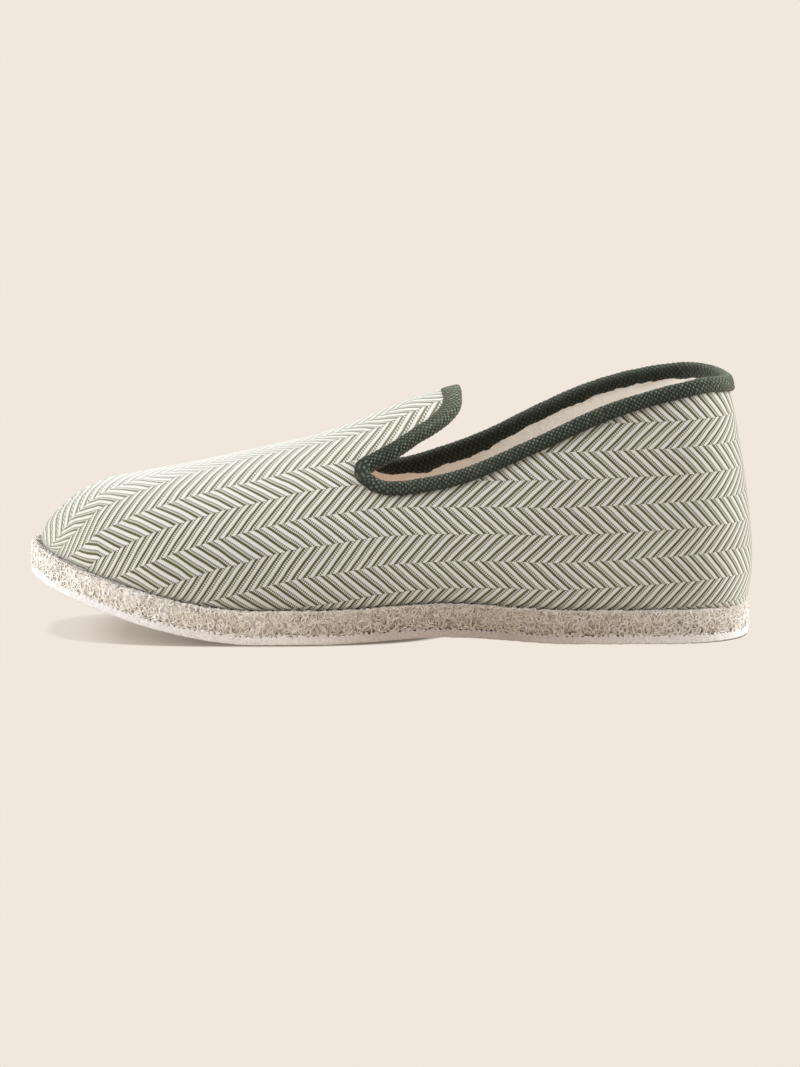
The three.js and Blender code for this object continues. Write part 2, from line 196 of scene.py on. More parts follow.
class Section:
    """One cross-section of the last, drawn in by inset."""

    def __init__(self, along, inset=0.0):
        start, end = inset - HEEL_OVERHANG, SOLE_LENGTH - TOE_LEDGE - inset
        along = clamp(along, start, end)
        share = clamp(along / SOLE_LENGTH)
        self.along = along
        self.edge = {side: plan_edge(along, side, start, end, SIDE_LEDGE + inset)
                     for side in (OUTER, INNER)}
        self.top = centre_line(along)
        self.foot = sole_height(along, self.edge[OUTER], FELT_TOP + GAP)
        drop = rounded_end(end - along, TOE_CAP_ROUND, 2)
        self.ridge = self.foot + drop * (lookup(LAST, "ridge", share) * INSTEP_HEIGHT - self.foot - inset)
        self.belly = self.foot + drop * lookup(LAST, "belly", share) * TOE_BOX_HEIGHT
        self.power = lookup(LAST, "fullness", share)

    def at(self, side, turn):
        """turn runs from -1 at the felt over 0 at the widest line to a quarter turn at the ridge."""
        reach = self.edge[side] - self.top
        if turn >= 0:
            y = self.top + reach * abs(math.cos(turn)) ** (2 / self.power)
            z = self.belly + (self.ridge - self.belly) * math.sin(turn) ** (2 / self.power)
        else:
            tuck = min(1.6 * TUCK, 0.5 * abs(reach)) / max(abs(reach), 1e-6)
            y = self.top + reach * (1 - tuck * (1 - math.sqrt(max(1 - turn * turn, 0))))
            z = mix(self.belly, self.foot, -turn)
        return (self.along + heel_lean(self.along, z), y, z)


def places_along(inset, step):
    """Places for sections, close together round the heel and the toe."""
    start, end = inset - HEEL_OVERHANG, SOLE_LENGTH - TOE_LEDGE - inset
    heel_steps, toe_steps = round(54 / step), round(104 / step)
    body_steps = round((end - TOE_ROUND - start - HEEL_ROUND) / step)
    heel = [start + HEEL_ROUND * (1 - math.cos(math.pi / 2 * i / heel_steps)) for i in range(heel_steps)]
    body = [mix(start + HEEL_ROUND, end - TOE_ROUND, i / body_steps) for i in range(body_steps)]
    toe = [end - TOE_ROUND * (1 - math.cos(math.pi / 2 * i / toe_steps)) for i in range(toe_steps, -1, -1)]
    return heel + body + toe


def half_section(section, side, steps):
    """Evenly spaced points from the felt up to the ridge, and the length round to each of them."""
    fine = 140
    turns = [-1 + i / 40 for i in range(40)] + [math.pi / 2 * (i / fine) for i in range(fine + 1)]
    line = [Vector(section.at(side, turn)) for turn in turns]
    reach = [0.0]
    for a, b in zip(line, line[1:]):
        reach.append(reach[-1] + (b - a).length)
    points, j = [], 0
    for i in range(steps + 1):
        wanted = reach[-1] * i / steps
        while j < len(line) - 2 and reach[j + 1] < wanted:
            j += 1
        span = max(reach[j + 1] - reach[j], 1e-9)
        points.append(line[j].lerp(line[j + 1], clamp((wanted - reach[j]) / span)))
    return points, reach[-1]


print(len(places_along(0, 1.5)), "sections for the cloth")


# %% [markdown]
# Every surface here is a bmesh grid: the operator makes the vertices and faces, and each vertex is
# then moved to its place on the last. That keeps even, square cells that shade cleanly, and each
# face gets its place in the weave as its own UV, in threads and rows instead of millimetres.

# %% A grid laid on the last
def grid_mesh(columns, rows, place, uv=None):
    """A bmesh grid with place(i, j) for each vertex and uv(i, j) for each corner."""
    bm = bmesh.new()
    bmesh.ops.create_grid(bm, x_segments=columns, y_segments=rows, size=0.5)
    spot = {v: (round((v.co.x + 0.5) * columns), round((v.co.y + 0.5) * rows)) for v in bm.verts}
    if uv:
        layer = bm.loops.layers.uv.new("weave")
        for face in bm.faces:
            for loop in face.loops:
                loop[layer].uv = uv(*spot[loop.vert])
    for v in bm.verts:
        v.co = place(*spot[v])
    return bm, spot


def finish_piece(bm, name, material, replaced):
    """Writes the bmesh to a named object that rides on the slipper's one body."""
    mesh = bpy.data.meshes.new(name)
    bm.to_mesh(mesh)
    bm.free()
    mesh.materials.append(material)
    mesh.polygons.foreach_set("use_smooth", [True] * len(mesh.polygons))
    piece = bpy.data.objects.new(name, mesh)
    bpy.context.scene.collection.objects.link(piece)
    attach(piece, "root")
    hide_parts(replaced)
    triangles = sum(len(p.vertices) - 2 for p in mesh.polygons)
    print(f"{name}: {triangles} triangles")
    return piece


def thicken(piece, thickness, offset):
    """Gives a sheet its thickness in mm, inward with offset -1 and outward with 1."""
    solidify = piece.modifiers.new("thickness", "SOLIDIFY")
    solidify.thickness, solidify.offset, solidify.use_even_offset = thickness * MM, offset, False
    return piece


def face_outward(bm, centre_height):
    """Turns all faces so that they look away from the middle of the slipper."""
    bmesh.ops.recalc_face_normals(bm, faces=bm.faces)
    middle = Vector((0, 0, centre_height * MM))
    score = sum(1 if face.normal.dot(face.calc_center_median() - middle) > 0 else -1
                for face in bm.faces)
    if score < 0:
        bmesh.ops.reverse_faces(bm, faces=bm.faces)


def speckle(point, size, seed=0.0):
    """Smooth noise from -1 to 1 with lumps of about the given size in millimetres."""
    return noise.noise(point / (size * MM) + Vector((seed, 2.3 * seed, -1.7 * seed)))


# %% [markdown]
# Finishes are built from shader nodes. A small helper keeps each one readable: it makes a node,
# wires what is given to its sockets, and hands back the output, so that a finish reads like a sum.

# %% A helper for finishes
class Finish:
    def __init__(self, name, roughness, sheen=0.0, sheen_roughness=0.5, sheen_tint=(1, 1, 1)):
        self.material = bpy.data.materials.new(name)
        self.material.use_nodes = True
        self.tree = self.material.node_tree
        self.shader = self.tree.nodes["Principled BSDF"]
        self.shader.inputs["Roughness"].default_value = roughness
        self.shader.inputs["Specular IOR Level"].default_value = 0.2
        self.shader.inputs["Sheen Weight"].default_value = sheen
        self.shader.inputs["Sheen Roughness"].default_value = sheen_roughness
        self.shader.inputs["Sheen Tint"].default_value = (*sheen_tint, 1)

    def node(self, kind, settings=None, **wires):
        node = self.tree.nodes.new(kind)
        for key, value in (settings or {}).items():
            setattr(node, key, value)
        for key, value in wires.items():
            socket = node.inputs[int(key[1:])] if key[1:].isdigit() else node.inputs[key.replace("_", " ")]
            if isinstance(value, bpy.types.NodeSocket):
                self.tree.links.new(value, socket)
            else:
                socket.default_value = value
        return node

    def math(self, operation, a, b=0.0, c=0.0):
        return self.node("ShaderNodeMath", {"operation": operation}, _0=a, _1=b, _2=c).outputs[0]

    def lump(self, size, detail=2.0, roughness=0.5, where=None):
        """Noise from 0 to 1 with lumps of about size millimetres."""
        where = where or self.node("ShaderNodeTexCoord").outputs["Object"]
        return self.node("ShaderNodeTexNoise", None, Vector=where, Scale=1 / (size * MM),
                         Detail=detail, Roughness=roughness).outputs["Fac"]

    def object_axes(self):
        """A place's x, y and z in the slipper's frame."""
        where = self.node("ShaderNodeTexCoord").outputs["Object"]
        return self.node("ShaderNodeSeparateXYZ", None, Vector=where).outputs

    def weave_axes(self):
        """A place's two coordinates in the piece's own UV map."""
        uv = self.node("ShaderNodeUVMap", {"uv_map": "weave"}).outputs[0]
        return self.node("ShaderNodeSeparateXYZ", None, Vector=uv).outputs

    def along_slipper(self, tones):
        """A ramp of (mm from the slipper's middle toward the heel, tone)."""
        share = self.math("MULTIPLY_ADD", self.object_axes()[0], 1 / (FRAME_LENGTH * MM), 0.5)
        return self.ramp(share, [(at / FRAME_LENGTH + 0.5, tone) for at, tone in tones])

    def ramp(self, fac, stops):
        node = self.node("ShaderNodeValToRGB", None, _0=fac)
        for k, (position, colour) in enumerate(stops):
            stop = (node.color_ramp.elements[k] if k < 2 else node.color_ramp.elements.new(position))
            stop.position = position
            stop.color = (*colour, 1) if isinstance(colour, tuple) else (colour, colour, colour, 1)
        return node.outputs["Color"]

    def mix(self, share, a, b, blend="MIX"):
        node = self.node("ShaderNodeMix", {"data_type": "RGBA", "blend_type": blend})
        for socket, value in zip((node.inputs[0], node.inputs[6], node.inputs[7]), (share, a, b)):
            if isinstance(value, bpy.types.NodeSocket):
                self.tree.links.new(value, socket)
            else:
                socket.default_value = (*value, 1) if isinstance(value, tuple) else value
        return node.outputs[2]

    def colour(self, value):
        self.tree.links.new(value, self.shader.inputs["Base Color"])

    def bump(self, height, distance_mm, strength=1.0):
        node = self.node("ShaderNodeBump", None, Height=height, Distance=distance_mm * MM,
                         Strength=strength)
        self.tree.links.new(node.outputs["Normal"], self.shader.inputs["Normal"])


def rgb(red, green, blue):
    """A colour as a paint chart gives it, from 0 to 255, made linear."""
    return tuple((c / 255 / 12.92) if c <= 10 else ((c / 255 + 0.055) / 1.055) ** 2.4
                 for c in (red, green, blue))


print("helpers ready")

# %% [markdown]
# The upper's cloth is a herringbone twill: rows of slanted threads about 10 mm high, leaning one way
# in one row and the other way in the next, with the threads half a step apart where rows meet. Each
# step along a row is a dark olive thread, a stitched pair of dotted threads and a pale double
# thread. An even cloth like this is charted with arithmetic on the weave's own UV: u counts threads
# along the row and v counts rows. No picture is needed, and the chart bends wherever the cloth does.

# %% Herringbone cloth
THREAD_STEP = 4.57             # dark thread to dark thread, along the row
ROW_HEIGHT = 10.4
SLANT = 2.40                   # threads that a slanted thread crosses over one row
DOTS_PER_ROW = 18.8
RIDGE_ROW = 7.5                # rows are counted from the felt up to the ridge
SQUARE = SLANT * THREAD_STEP ** 2 / (ROW_HEIGHT ** 2 + (SLANT * THREAD_STEP) ** 2)


def herringbone_cloth():
    f = Finish("herringbone_cloth", roughness=0.9, sheen=0.7, sheen_roughness=0.45,
               sheen_tint=(1.0, 1.0, 0.97))
    weave = f.weave_axes()
    u = f.math("MULTIPLY_ADD", f.math("SUBTRACT", f.lump(6, 1), 0.5), 0.10, weave[0])
    v = f.math("MULTIPLY_ADD", f.math("SUBTRACT", f.lump(9, 1), 0.5), 0.05, weave[1])
    row = f.math("FLOOR", v)
    height = f.math("SUBTRACT", v, row)
    odd = f.math("FLOORED_MODULO", row, 2)
    # Even rows lean back by SLANT threads over their height, odd rows lean forward.
    lean = f.math("MULTIPLY", height, f.math("MULTIPLY_ADD", odd, -2 * SLANT, SLANT))
    shift = f.math("MULTIPLY_ADD", odd, SLANT + 0.5, lean)
    thread = f.math("ADD", u, shift)
    number = f.math("FLOOR", thread)
    code = f.node("ShaderNodeCombineXYZ", None, X=number, Y=row, Z=0.0).outputs[0]
    chance = f.node("ShaderNodeTexWhiteNoise", {"noise_dimensions": "2D"}, Vector=code)
    phase = f.math("FRACT", thread)
    # Pale (1) and dark (0) over one step: dark thread, pale dots, dark dots, pale double thread.
    # The dots of both rows line up square to their thread, whichever way it leans.
    turn = f.math("MULTIPLY", phase, f.math("MULTIPLY_ADD", odd, 2 * SQUARE, -SQUARE))
    dot = f.math("SINE", f.math("MULTIPLY", f.math("ADD", height, turn), DOTS_PER_ROW * 2 * math.pi))
    solid = f.ramp(phase, [(0.0, 0.20), (0.03, 0.03), (0.14, 0.0), (0.25, 0.03), (0.30, 0.80),
                           (0.41, 0.80), (0.45, 0.14), (0.56, 0.14), (0.61, 0.92), (0.78, 1.0),
                           (0.97, 0.94), (1.0, 0.20)])
    pale_dots = f.ramp(phase, [(0.26, 0.0), (0.31, 1.0), (0.41, 1.0), (0.44, 0.0)])
    dark_dots = f.ramp(phase, [(0.41, 0.0), (0.44, 1.0), (0.54, 1.0), (0.58, 0.0)])
    pale = f.math("MULTIPLY_ADD", f.math("MULTIPLY", pale_dots, dot), 0.8, solid)
    pale = f.math("MULTIPLY_ADD", f.math("MULTIPLY", dark_dots, dot), 0.7, pale)
    # Single threads differ a little in colour, and the twist of the yarn breaks up every tone.
    fuzz = f.lump(0.40, 2, 0.6)
    patch = f.lump(2.6, 2)
    dark_tone = f.mix(chance.outputs["Value"], rgb(66, 60, 34), rgb(76, 82, 38))
    dark_tone = f.mix(f.math("MULTIPLY", patch, 0.6), dark_tone, rgb(98, 102, 60))
    pale_tone = f.mix(patch, rgb(230, 225, 224), rgb(224, 225, 213))
    pale_tone = f.mix(f.math("MULTIPLY", fuzz, 0.36), pale_tone, rgb(160, 156, 144))
    # Along the ridge of the vamp light from above fills the gaps between the threads.
    vamp = f.along_slipper([(27.0, 1.0), (43.2, 0.0)])
    rows_off = f.math("ABSOLUTE", f.math("SUBTRACT", weave[1], RIDGE_ROW))
    lit = f.ramp(f.math("DIVIDE", rows_off, 10.0), [(0.10, 0.20), (0.32, 0.0)])
    dark_tone = f.mix(f.math("MULTIPLY", lit, vamp), dark_tone, rgb(196, 200, 178))
    f.colour(f.mix(f.math("MINIMUM", f.math("MAXIMUM", pale, 0.0), 1.0), dark_tone, pale_tone))
    bulge = f.ramp(phase, [(0.0, 0.15), (0.05, 0.20), (0.15, 0.30), (0.26, 0.20), (0.31, 0.45),
                           (0.45, 0.50), (0.57, 0.45), (0.62, 0.80), (0.78, 1.0), (0.93, 0.80),
                           (1.0, 0.15)])
    relief = f.math("MULTIPLY_ADD", f.math("MULTIPLY", pale_dots, dot), 0.35, bulge)
    relief = f.math("MULTIPLY_ADD", fuzz, 0.35, relief)
    f.bump(relief, 0.12)
    return f.material


cloth_finish = herringbone_cloth()
print(f"threads lean by {SLANT:.2f} steps over a row")

# %% [markdown]
# On the real slipper the cloth runs level round the heel and along the side, and over the vamp its
# rows follow the ridge down to the toe, where they run out into the felt one by one. Which row lies
# where is therefore charted for a few places along the foot: at the felt, up the side, and
# next to the ridge. Between those places the rows are simply spaced along the cloth.

# %% Where the rows lie
ROWS = {                       # felt: row number at the felt. pitch: row height on the side.
    "at": (0, 10, 27, 50, 72, 95, 110, 124, 139, 154, 169, 183, 198, 213, 228, 243, 248, 257, 262, 265.3),
    "felt": (-1.3, -1.25, -1.12, -.93, -.83, -.75, -.68, -.62, -.55, -.35, -.15, .12, .58, 1.24,
             2.08, 3.23, 3.9, 5, 6, 7.5),
    "pitch": (9.97, 9.97, 10.03, 10.2, 10.24, 10.05, 10, 10.3, 10.75, 11.1, 11.3, 11.15, 11.2, 11.15,
              10.7, 10, 10, 10, 10, 10),
}
CROWN = {                      # distance from the ridge of rows 6 and 7, as shares of the half section
    "at": (107, 116, 124, 132, 139, 154, 169, 183, 198, 213, 228, 243, 252, 262, 265.3),
    "six": (.085, .10, .123, .145, .16, .155, .13, .128, .16, .215, .34, .49, .68, .97, 1),
    "seven": (.02, .03, .035, .06, .07, .07, .06, .06, .075, .10, .15, .31, .50, .86, 1),
}
SHEAR = {                      # threads that the cross threads lean forward over one row
    "at": (0, 10, 40, 80, 110, 140, 160, 265.3),
    "lean": (-.25, -.15, 0, .04, .05, .18, .28, .26),
}

DENSITY = {                    # how much closer the threads lie than THREAD_STEP
    "at": (0, 14.4, 25.6, 40.7, 55.7, 74.5, 93.3, 112, 131, 150, 170, 190, 265.3),
    "times": (1.20, 1.16, 1.12, 1.08, 1.04, 1.01, 1.0, 1.025, 1.05, 1.045, 1.03, 1.05, 1.05),
}


def row_at(along, reach, total):
    """Row number at a distance up from the felt, on the outer side."""
    felt, pitch = between(ROWS, "felt", along), between(ROWS, "pitch", along)
    if along < CROWN["at"][0]:
        return felt + reach / pitch
    knots = [(0.0, felt)]
    if felt < 5:
        knots.append(((5 - felt) * pitch, 5))
    for column, number in (("six", 6), ("seven", 7)):
        place = total * (1 - between(CROWN, column, along))
        if felt < number and place > knots[-1][0] + 0.5:
            knots.append((place, number))
    if total > knots[-1][0] + 1e-6:
        knots.append((total, max(RIDGE_ROW, knots[-1][1])))
    for (a, row_a), (b, row_b) in zip(knots, knots[1:]):
        if reach <= b:
            return mix(row_a, row_b, clamp((reach - a) / (b - a)))
    return knots[-1][1]


print("rows at the ball, from the felt:", round(row_at(183, 0, 84), 2), "to", RIDGE_ROW)

# %% [markdown]
# Cloth pulled over a last is smooth, but it isn't perfect: it dips a little where the foot bends,
# gathers in short puckers where it goes under at the waist, and settles at the heel. These marks are
# listed one by one, as soft troughs and ridges in the shoe's own sizes, and pushed along the normals.

# %% Creases
CREASES = (
    # side, along, up (share of the half section), length, width, depth in mm, turn in degrees
    (OUTER, 108, .16, 16, 3.0, -0.55, 62), (OUTER, 101, .12, 12, 2.6, 0.45, 58),
    (OUTER, 116, .10, 10, 2.4, 0.35, 70), (OUTER, 92, .08, 9, 2.4, -0.30, 50),
    (OUTER, 176, .50, 30, 7.0, -0.45, 78), (OUTER, 192, .46, 26, 6.0, 0.35, 80),
    (OUTER, 214, .40, 20, 5.0, -0.35, 76), (OUTER, 150, .62, 20, 5.0, -0.35, 55),
    (OUTER, 36, .34, 22, 7.0, -0.45, 84), (OUTER, 22, .55, 20, 6.0, 0.35, 88),
    (INNER, 120, .20, 18, 3.5, -0.55, 64), (INNER, 110, .14, 14, 3.0, 0.45, 60),
    (INNER, 180, .48, 30, 7.0, -0.45, 80), (INNER, 198, .44, 24, 6.0, 0.35, 76),
    (INNER, 38, .36, 22, 7.0, -0.40, 84), (INNER, 86, .16, 14, 3.2, -0.40, 56),
)
HALF_GIRTH = 90                # mm from the felt to the ridge, about the same all along


def crease_depth(side, along, up):
    """Height in millimetres that the creases add at a place on the cloth."""
    total = 0.0
    for crease_side, at, share, length, width, depth, turn in CREASES:
        if side != crease_side or abs(along - at) > 2 * length:
            continue
        run, rise = along - at, (up - share) * HALF_GIRTH
        c, s = math.cos(math.radians(turn)), math.sin(math.radians(turn))
        lengthwise, across = run * c + rise * s, rise * c - run * s
        total += depth * math.exp(-(across / width) ** 2 - (lengthwise / length) ** 2 * 2)
    return total


print(len(CREASES), "creases")

# %% [markdown]
# The collar's edge is drawn in side view: up the tongue, round its tip, back along the topline to
# the heel. Each point of that drawing is carried straight across onto the last, and so gives the
# line that the tape is folded over. The cloth and the lining are cut a little below it.


# %% The collar's edge
def collar_drawing(side):
    """The opening's edge in side view, from the tip of the tongue to the heel."""
    points = [Vector((mix(NOTCH_AT, TONGUE_TIP_AT, run), mix(NOTCH_HEIGHT, INSTEP_HEIGHT, climb)))
              for run, climb in zip(TONGUE_EDGE["run"], TONGUE_EDGE["climb"])][::-1]
    for run, rise, inner in zip(TOPLINE["run"], TOPLINE["rise"], TOPLINE["inner"]):
        lift = inner * INNER_RISE if side == INNER else 0
        points.append(Vector((NOTCH_AT * (1 - run), mix(NOTCH_HEIGHT, HEEL_HEIGHT, rise) + lift)))
    return points


def along_spline(points, share):
    """A place on a smooth curve through the points."""
    last = len(points) - 1
    place = share * last
    i = min(int(place), last - 1)
    t = place - i
    before, a, b, after = (points[clamp(k, 0, last)] for k in (i - 1, i, i + 1, i + 2))
    slope_a, slope_b = (b - before) / 2, (after - a) / 2
    t2, t3 = t * t, t * t * t
    return (a * (2 * t3 - 3 * t2 + 1) + slope_a * (t3 - 2 * t2 + t)
            + b * (3 * t2 - 2 * t3) + slope_b * (t3 - t2))


ABOVE, BEHIND = 200.0, -60.0   # mm, well clear of the slipper


def cut_outline(side, grow):
    """The drawing as a closed shape, grown into the cloth by a few millimetres."""
    points, steps = collar_drawing(side), 90
    edge = [along_spline(points, i / steps) for i in range(steps + 1)]
    grown = []
    for i, point in enumerate(edge):
        run = (edge[min(i + 1, steps)] - edge[max(i - 1, 0)]).normalized()
        grown.append(point + Vector((-run.y, run.x)) * grow)
    return [Vector((grown[0].x, ABOVE)), *grown, Vector((BEHIND, grown[-1].y)), Vector((BEHIND, ABOVE))]


def inside(outline, x, y):
    """Whether a point of the side view lies in a closed outline."""
    found = False
    for a, b in zip(outline, outline[1:] + outline[:1]):
        if (a.y > y) != (b.y > y) and x < a.x + (y - a.y) / (b.y - a.y) * (b.x - a.x):
            found = not found
    return found


def cut_collar(bm, grow):
    """Deletes the faces that lie in the opening."""
    outlines = {side: cut_outline(side, grow) for side in (OUTER, INNER)}
    gone = []
    for face in bm.faces:
        centre = face.calc_center_median() / MM
        if centre.z < NOTCH_HEIGHT - 12 or centre.x < HEEL_X - NOTCH_AT - 12:
            continue
        side = OUTER if centre.y - MIDDLE_Y < 0 else INNER
        if inside(outlines[side], HEEL_X - centre.x, centre.z):
            gone.append(face)
    bmesh.ops.delete(bm, geom=gone, context="FACES")
    return len(gone)


print("collar drawn with", len(collar_drawing(OUTER)), "points a side")

# %% [markdown]
# The upper's cloth is one sheet from felt to felt over the ridge, with the opening cut out of it. It
# has no padding. It's stiff, glued to its lining and shaped by the last that the slipper was made
# on, so it is modelled directly on the last instead of simulated. Its foot rolls under and
# disappears into the felt, as the sewn edge does.

# %% Cloth of the upper
CLOTH_STEP = 1.5
SIDE_STEPS = 74                # cells from the felt to the ridge
COUNT_FROM = 100               # mm along, where the count of threads starts
ROLL = ((-1, 0.4, -1.2), (-2, 2.2, -1.9), (-3, 4.5, -2.2))   # step, mm inward, mm down


def upper_sheet(inset, step, side_steps, thread_uv):
    """Vertex places and weave coordinates for a sheet on the last, felt to felt."""
    columns = places_along(inset, step)
    places, uvs = [], []
    roll = len(ROLL)
    for along in columns:
        section = Section(along, inset)
        column, coordinate = [], []
        for side in (OUTER, INNER):
            points, total = half_section(section, side, side_steps)
            foot = points[0]
            inward = Vector((0, section.top - foot.y, 0))
            inward = inward.normalized() if inward.length > 1e-4 else Vector((0, 0, 0))
            reach_in = abs(section.top - foot.y)
            rolled = [foot + inward * min(into, reach_in) + Vector((0, 0, down)) for _, into, down in ROLL]
            half = rolled[::-1] + points
            rows = [row_at(along, total * max(k - roll, 0) / side_steps, total) for k in range(len(half))]
            if side == INNER:
                half, rows = half[::-1], [2 * RIDGE_ROW - row for row in rows[::-1]]
            column += half if side == OUTER else half[1:]
            coordinate += rows if side == OUTER else rows[1:]
        places.append(column)
        uvs.append(coordinate)
    if not thread_uv:
        return columns, places, None
    # Threads are counted both ways from one section, and round the heel as seen from above.
    reference = min(range(len(columns)), key=lambda i: abs(columns[i] - COUNT_FROM))
    threads = [[0.0] * len(places[0]) for _ in columns]
    for i in range(reference + 1, len(columns)):
        times = between(DENSITY, "times", columns[i])
        for j, (a, b) in enumerate(zip(places[i - 1], places[i])):
            threads[i][j] = threads[i - 1][j] - (b - a).length * times / THREAD_STEP
    for i in range(reference - 1, -1, -1):
        times = between(DENSITY, "times", columns[i])
        for j, (a, b) in enumerate(zip(places[i + 1], places[i])):
            threads[i][j] = threads[i + 1][j] + Vector((b.x - a.x, b.y - a.y)).length * times / THREAD_STEP
    for i, along in enumerate(columns):
        lean = between(SHEAR, "lean", along)
        for j, row in enumerate(uvs[i]):
            height = row if row < RIDGE_ROW else 2 * RIDGE_ROW - row
            threads[i][j] += lean * (height - 3)
    return columns, places, [[(threads[i][j], uvs[i][j]) for j in range(len(uvs[i]))]
                             for i in range(len(columns))]


def make_cloth():
    columns, places, uvs = upper_sheet(0.0, CLOTH_STEP, SIDE_STEPS, True)
    rows = len(places[0]) - 1
    bm, spot = grid_mesh(len(columns) - 1, rows, lambda i, j: in_frame(*places[i][j]),
                         lambda i, j: uvs[i][j])
    face_outward(bm, 30)
    bm.normal_update()
    roll, moves = len(ROLL), {}
    for v, (i, j) in spot.items():
        side = OUTER if j <= rows // 2 else INNER
        up = (j - roll) / SIDE_STEPS if side == OUTER else (rows - j - roll) / SIDE_STEPS
        fade = clamp(up * 14) * clamp((265 - columns[i]) / 12) * clamp((columns[i] + 1) / 8)
        slack = 0.18 * speckle(v.co, 24, 3)
        depth = crease_depth(side, columns[i], up) + slack + 0.07 * speckle(v.co, 7, 9)
        moves[v] = v.normal * depth * fade * MM
    for v, move in moves.items():
        v.co += move
    bmesh.ops.remove_doubles(bm, verts=bm.verts, dist=MERGE * MM)
    print(cut_collar(bm, 2.4), "faces cut from the collar")
    return thicken(finish_piece(bm, "cloth_upper", cloth_finish, "upper"), 0.8, -1)


make_cloth()

# %% [markdown]
# The lining is a curly wool fleece. Its pile is too deep for bump alone, because its outline shows
# inside the collar, so the sheet's own vertices are raised into tufts: large soft lumps a few
# millimetres across with smaller curls on top. It's the same sheet on the last, a wall further in.

# %% Fleece lining
def fleece(name, light, shaded, glow=0.0, tinted=False):
    f = Finish(name, roughness=1.0, sheen=0.35, sheen_roughness=0.6, sheen_tint=(1.0, 0.96, 0.9))
    # Painted light: a faint, even glow brightens the pile, in place of light that it passes on from lock to
    # lock.
    f.shader.inputs["Emission Color"].default_value = (*rgb(238, 234, 230), 1)
    f.shader.inputs["Emission Strength"].default_value = glow
    tufts, curls = f.lump(3.2, 3, 0.6), f.lump(0.9, 3, 0.65)
    shade = f.math("MULTIPLY_ADD", tufts, 0.55, f.math("MULTIPLY", curls, 0.45))
    pile = f.ramp(shade, [(0.30, shaded), (0.62, light)])
    if tinted:       # at the opening's front corner the pile takes the tint of the cloths' backs
        tint = f.along_slipper([(-16.2, (0.95, 0.72, 0.50)), (18.9, (0.98, 0.88, 0.76)),
                                (43.2, (1, 1, 1))])
        pile = f.mix(1.0, pile, tint, "MULTIPLY")
    f.colour(pile)
    f.bump(f.math("ADD", tufts, f.math("MULTIPLY", curls, 0.6)), 0.9)
    return f.material


def tuft_height(point):
    """Height of the fleece's pile, from 0 to 1."""
    return 0.5 + 0.32 * speckle(point, 4.2, 5) + 0.26 * speckle(point, 1.9, 11)


# The lining's glow of 0.155 is painted light.
lining_finish = fleece("fleece_lining", rgb(252, 247, 240), rgb(238, 228, 212), 0.155, True)
LINING_INSET, PILE = 2.1, 1.5


def plain_sheet(inset, step, side_steps):
    """A sheet on the last, facing outward, without the weave's coordinates."""
    columns, places, _ = upper_sheet(inset, step, side_steps, False)
    bm, _ = grid_mesh(len(columns) - 1, len(places[0]) - 1, lambda i, j: in_frame(*places[i][j]))
    face_outward(bm, 30)
    bm.normal_update()
    bmesh.ops.remove_doubles(bm, verts=bm.verts, dist=MERGE * MM)
    return bm


def make_lining():
    bm = plain_sheet(LINING_INSET, step=1.5, side_steps=72)
    cut_collar(bm, 4.0)
    bm.normal_update()
    for v in bm.verts:
        v.co -= v.normal * tuft_height(v.co) * PILE * MM
    return thicken(finish_piece(bm, "fleece_lining", lining_finish, "upper"), 0.5, 1)


make_lining()

# %% [markdown]
# The tape is one knitted band folded over the collar's edge: outside, over the top and back down
# inside. It's a section drawn once, with its rounded rolled edges, and carried round the opening's
# edge. At each place the section stands on the last's own outward direction there, so that the band
# hugs the cloth on the sides, the heel and the tongue alike.

# %% The tape's path
TAPE_SECTION = ((.35, 6.0), (1.15, 6.1), (1.7, 5.3), (1.85, 4.2), (1.85, 2.8), (1.6, 1.4), (.7, .35),
                (-.9, 0), (-2.6, .3), (-3.6, 1.3), (-3.9, 2.4), (-3.9, 3.5), (-3.7, 4.5),
                (-3.1, 5.1), (-2.5, 4.9), (-2.3, 4.0), (-2.2, 3.0), (-1.6, 1.9), (-.6, 1.7),
                (.2, 2.4), (.35, 3.6), (.3, 5.0))
TAPE_STEP = 0.4
SUNK = 0.6                     # mm that the tongue's tape is pressed into the cloth


def on_last(side, at, height):
    """The place on the last that lies straight across from a point of the side view."""
    along = at
    for _ in range(12):
        along = at - heel_lean(max(along, 0), height)
    section = Section(along)
    climb = (height - section.belly) / (section.ridge - section.belly)
    turn = math.asin(clamp(climb) ** (section.power / 2))
    return along, climb, Vector(section.at(side, turn))


def edge_of(test, out, into):
    """Where a test that holds at out stops holding, on the way to into."""
    for _ in range(40):
        middle = (out + into) / 2
        out, into = (middle, into) if test(middle) else (out, middle)
    return into


def even_places(loop, step):
    """A closed loop of points spaced anew, about step apart, and their exact spacing."""
    reach = [0.0]
    for a, b in zip(loop, loop[1:] + loop[:1]):
        reach.append(reach[-1] + (b - a).length)
    count = round(reach[-1] / step)
    places, j = [], 0
    for k in range(count):
        wanted = reach[-1] * k / count
        while reach[j + 1] < wanted:
            j += 1
        a, b = loop[j], loop[(j + 1) % len(loop)]
        places.append(a.lerp(b, (wanted - reach[j]) / max(reach[j + 1] - reach[j], 1e-9)))
    return places, reach[-1] / count


def tape_path():
    """Points TAPE_STEP apart round the whole opening, from the tongue's tip back to itself."""
    loop = []
    for side in (OUTER, INNER):
        points = collar_drawing(side)

        def probe(share):
            place = along_spline(points, share)
            return on_last(side, place.x, place.y)

        first = edge_of(lambda share: probe(share)[1] > 1, 0.0, 0.3)        # the vamp's ridge
        last = edge_of(lambda share: probe(share)[0] < -HEEL_OVERHANG, 1.0, 0.7)   # the heel's back
        fine = 1400
        line = [probe(mix(first, last, (1 - math.cos(math.pi * i / fine)) / 2))[2] for i in range(fine + 1)]
        loop += line if side == OUTER else line[::-1][1:-1]
    return even_places(loop, TAPE_STEP)


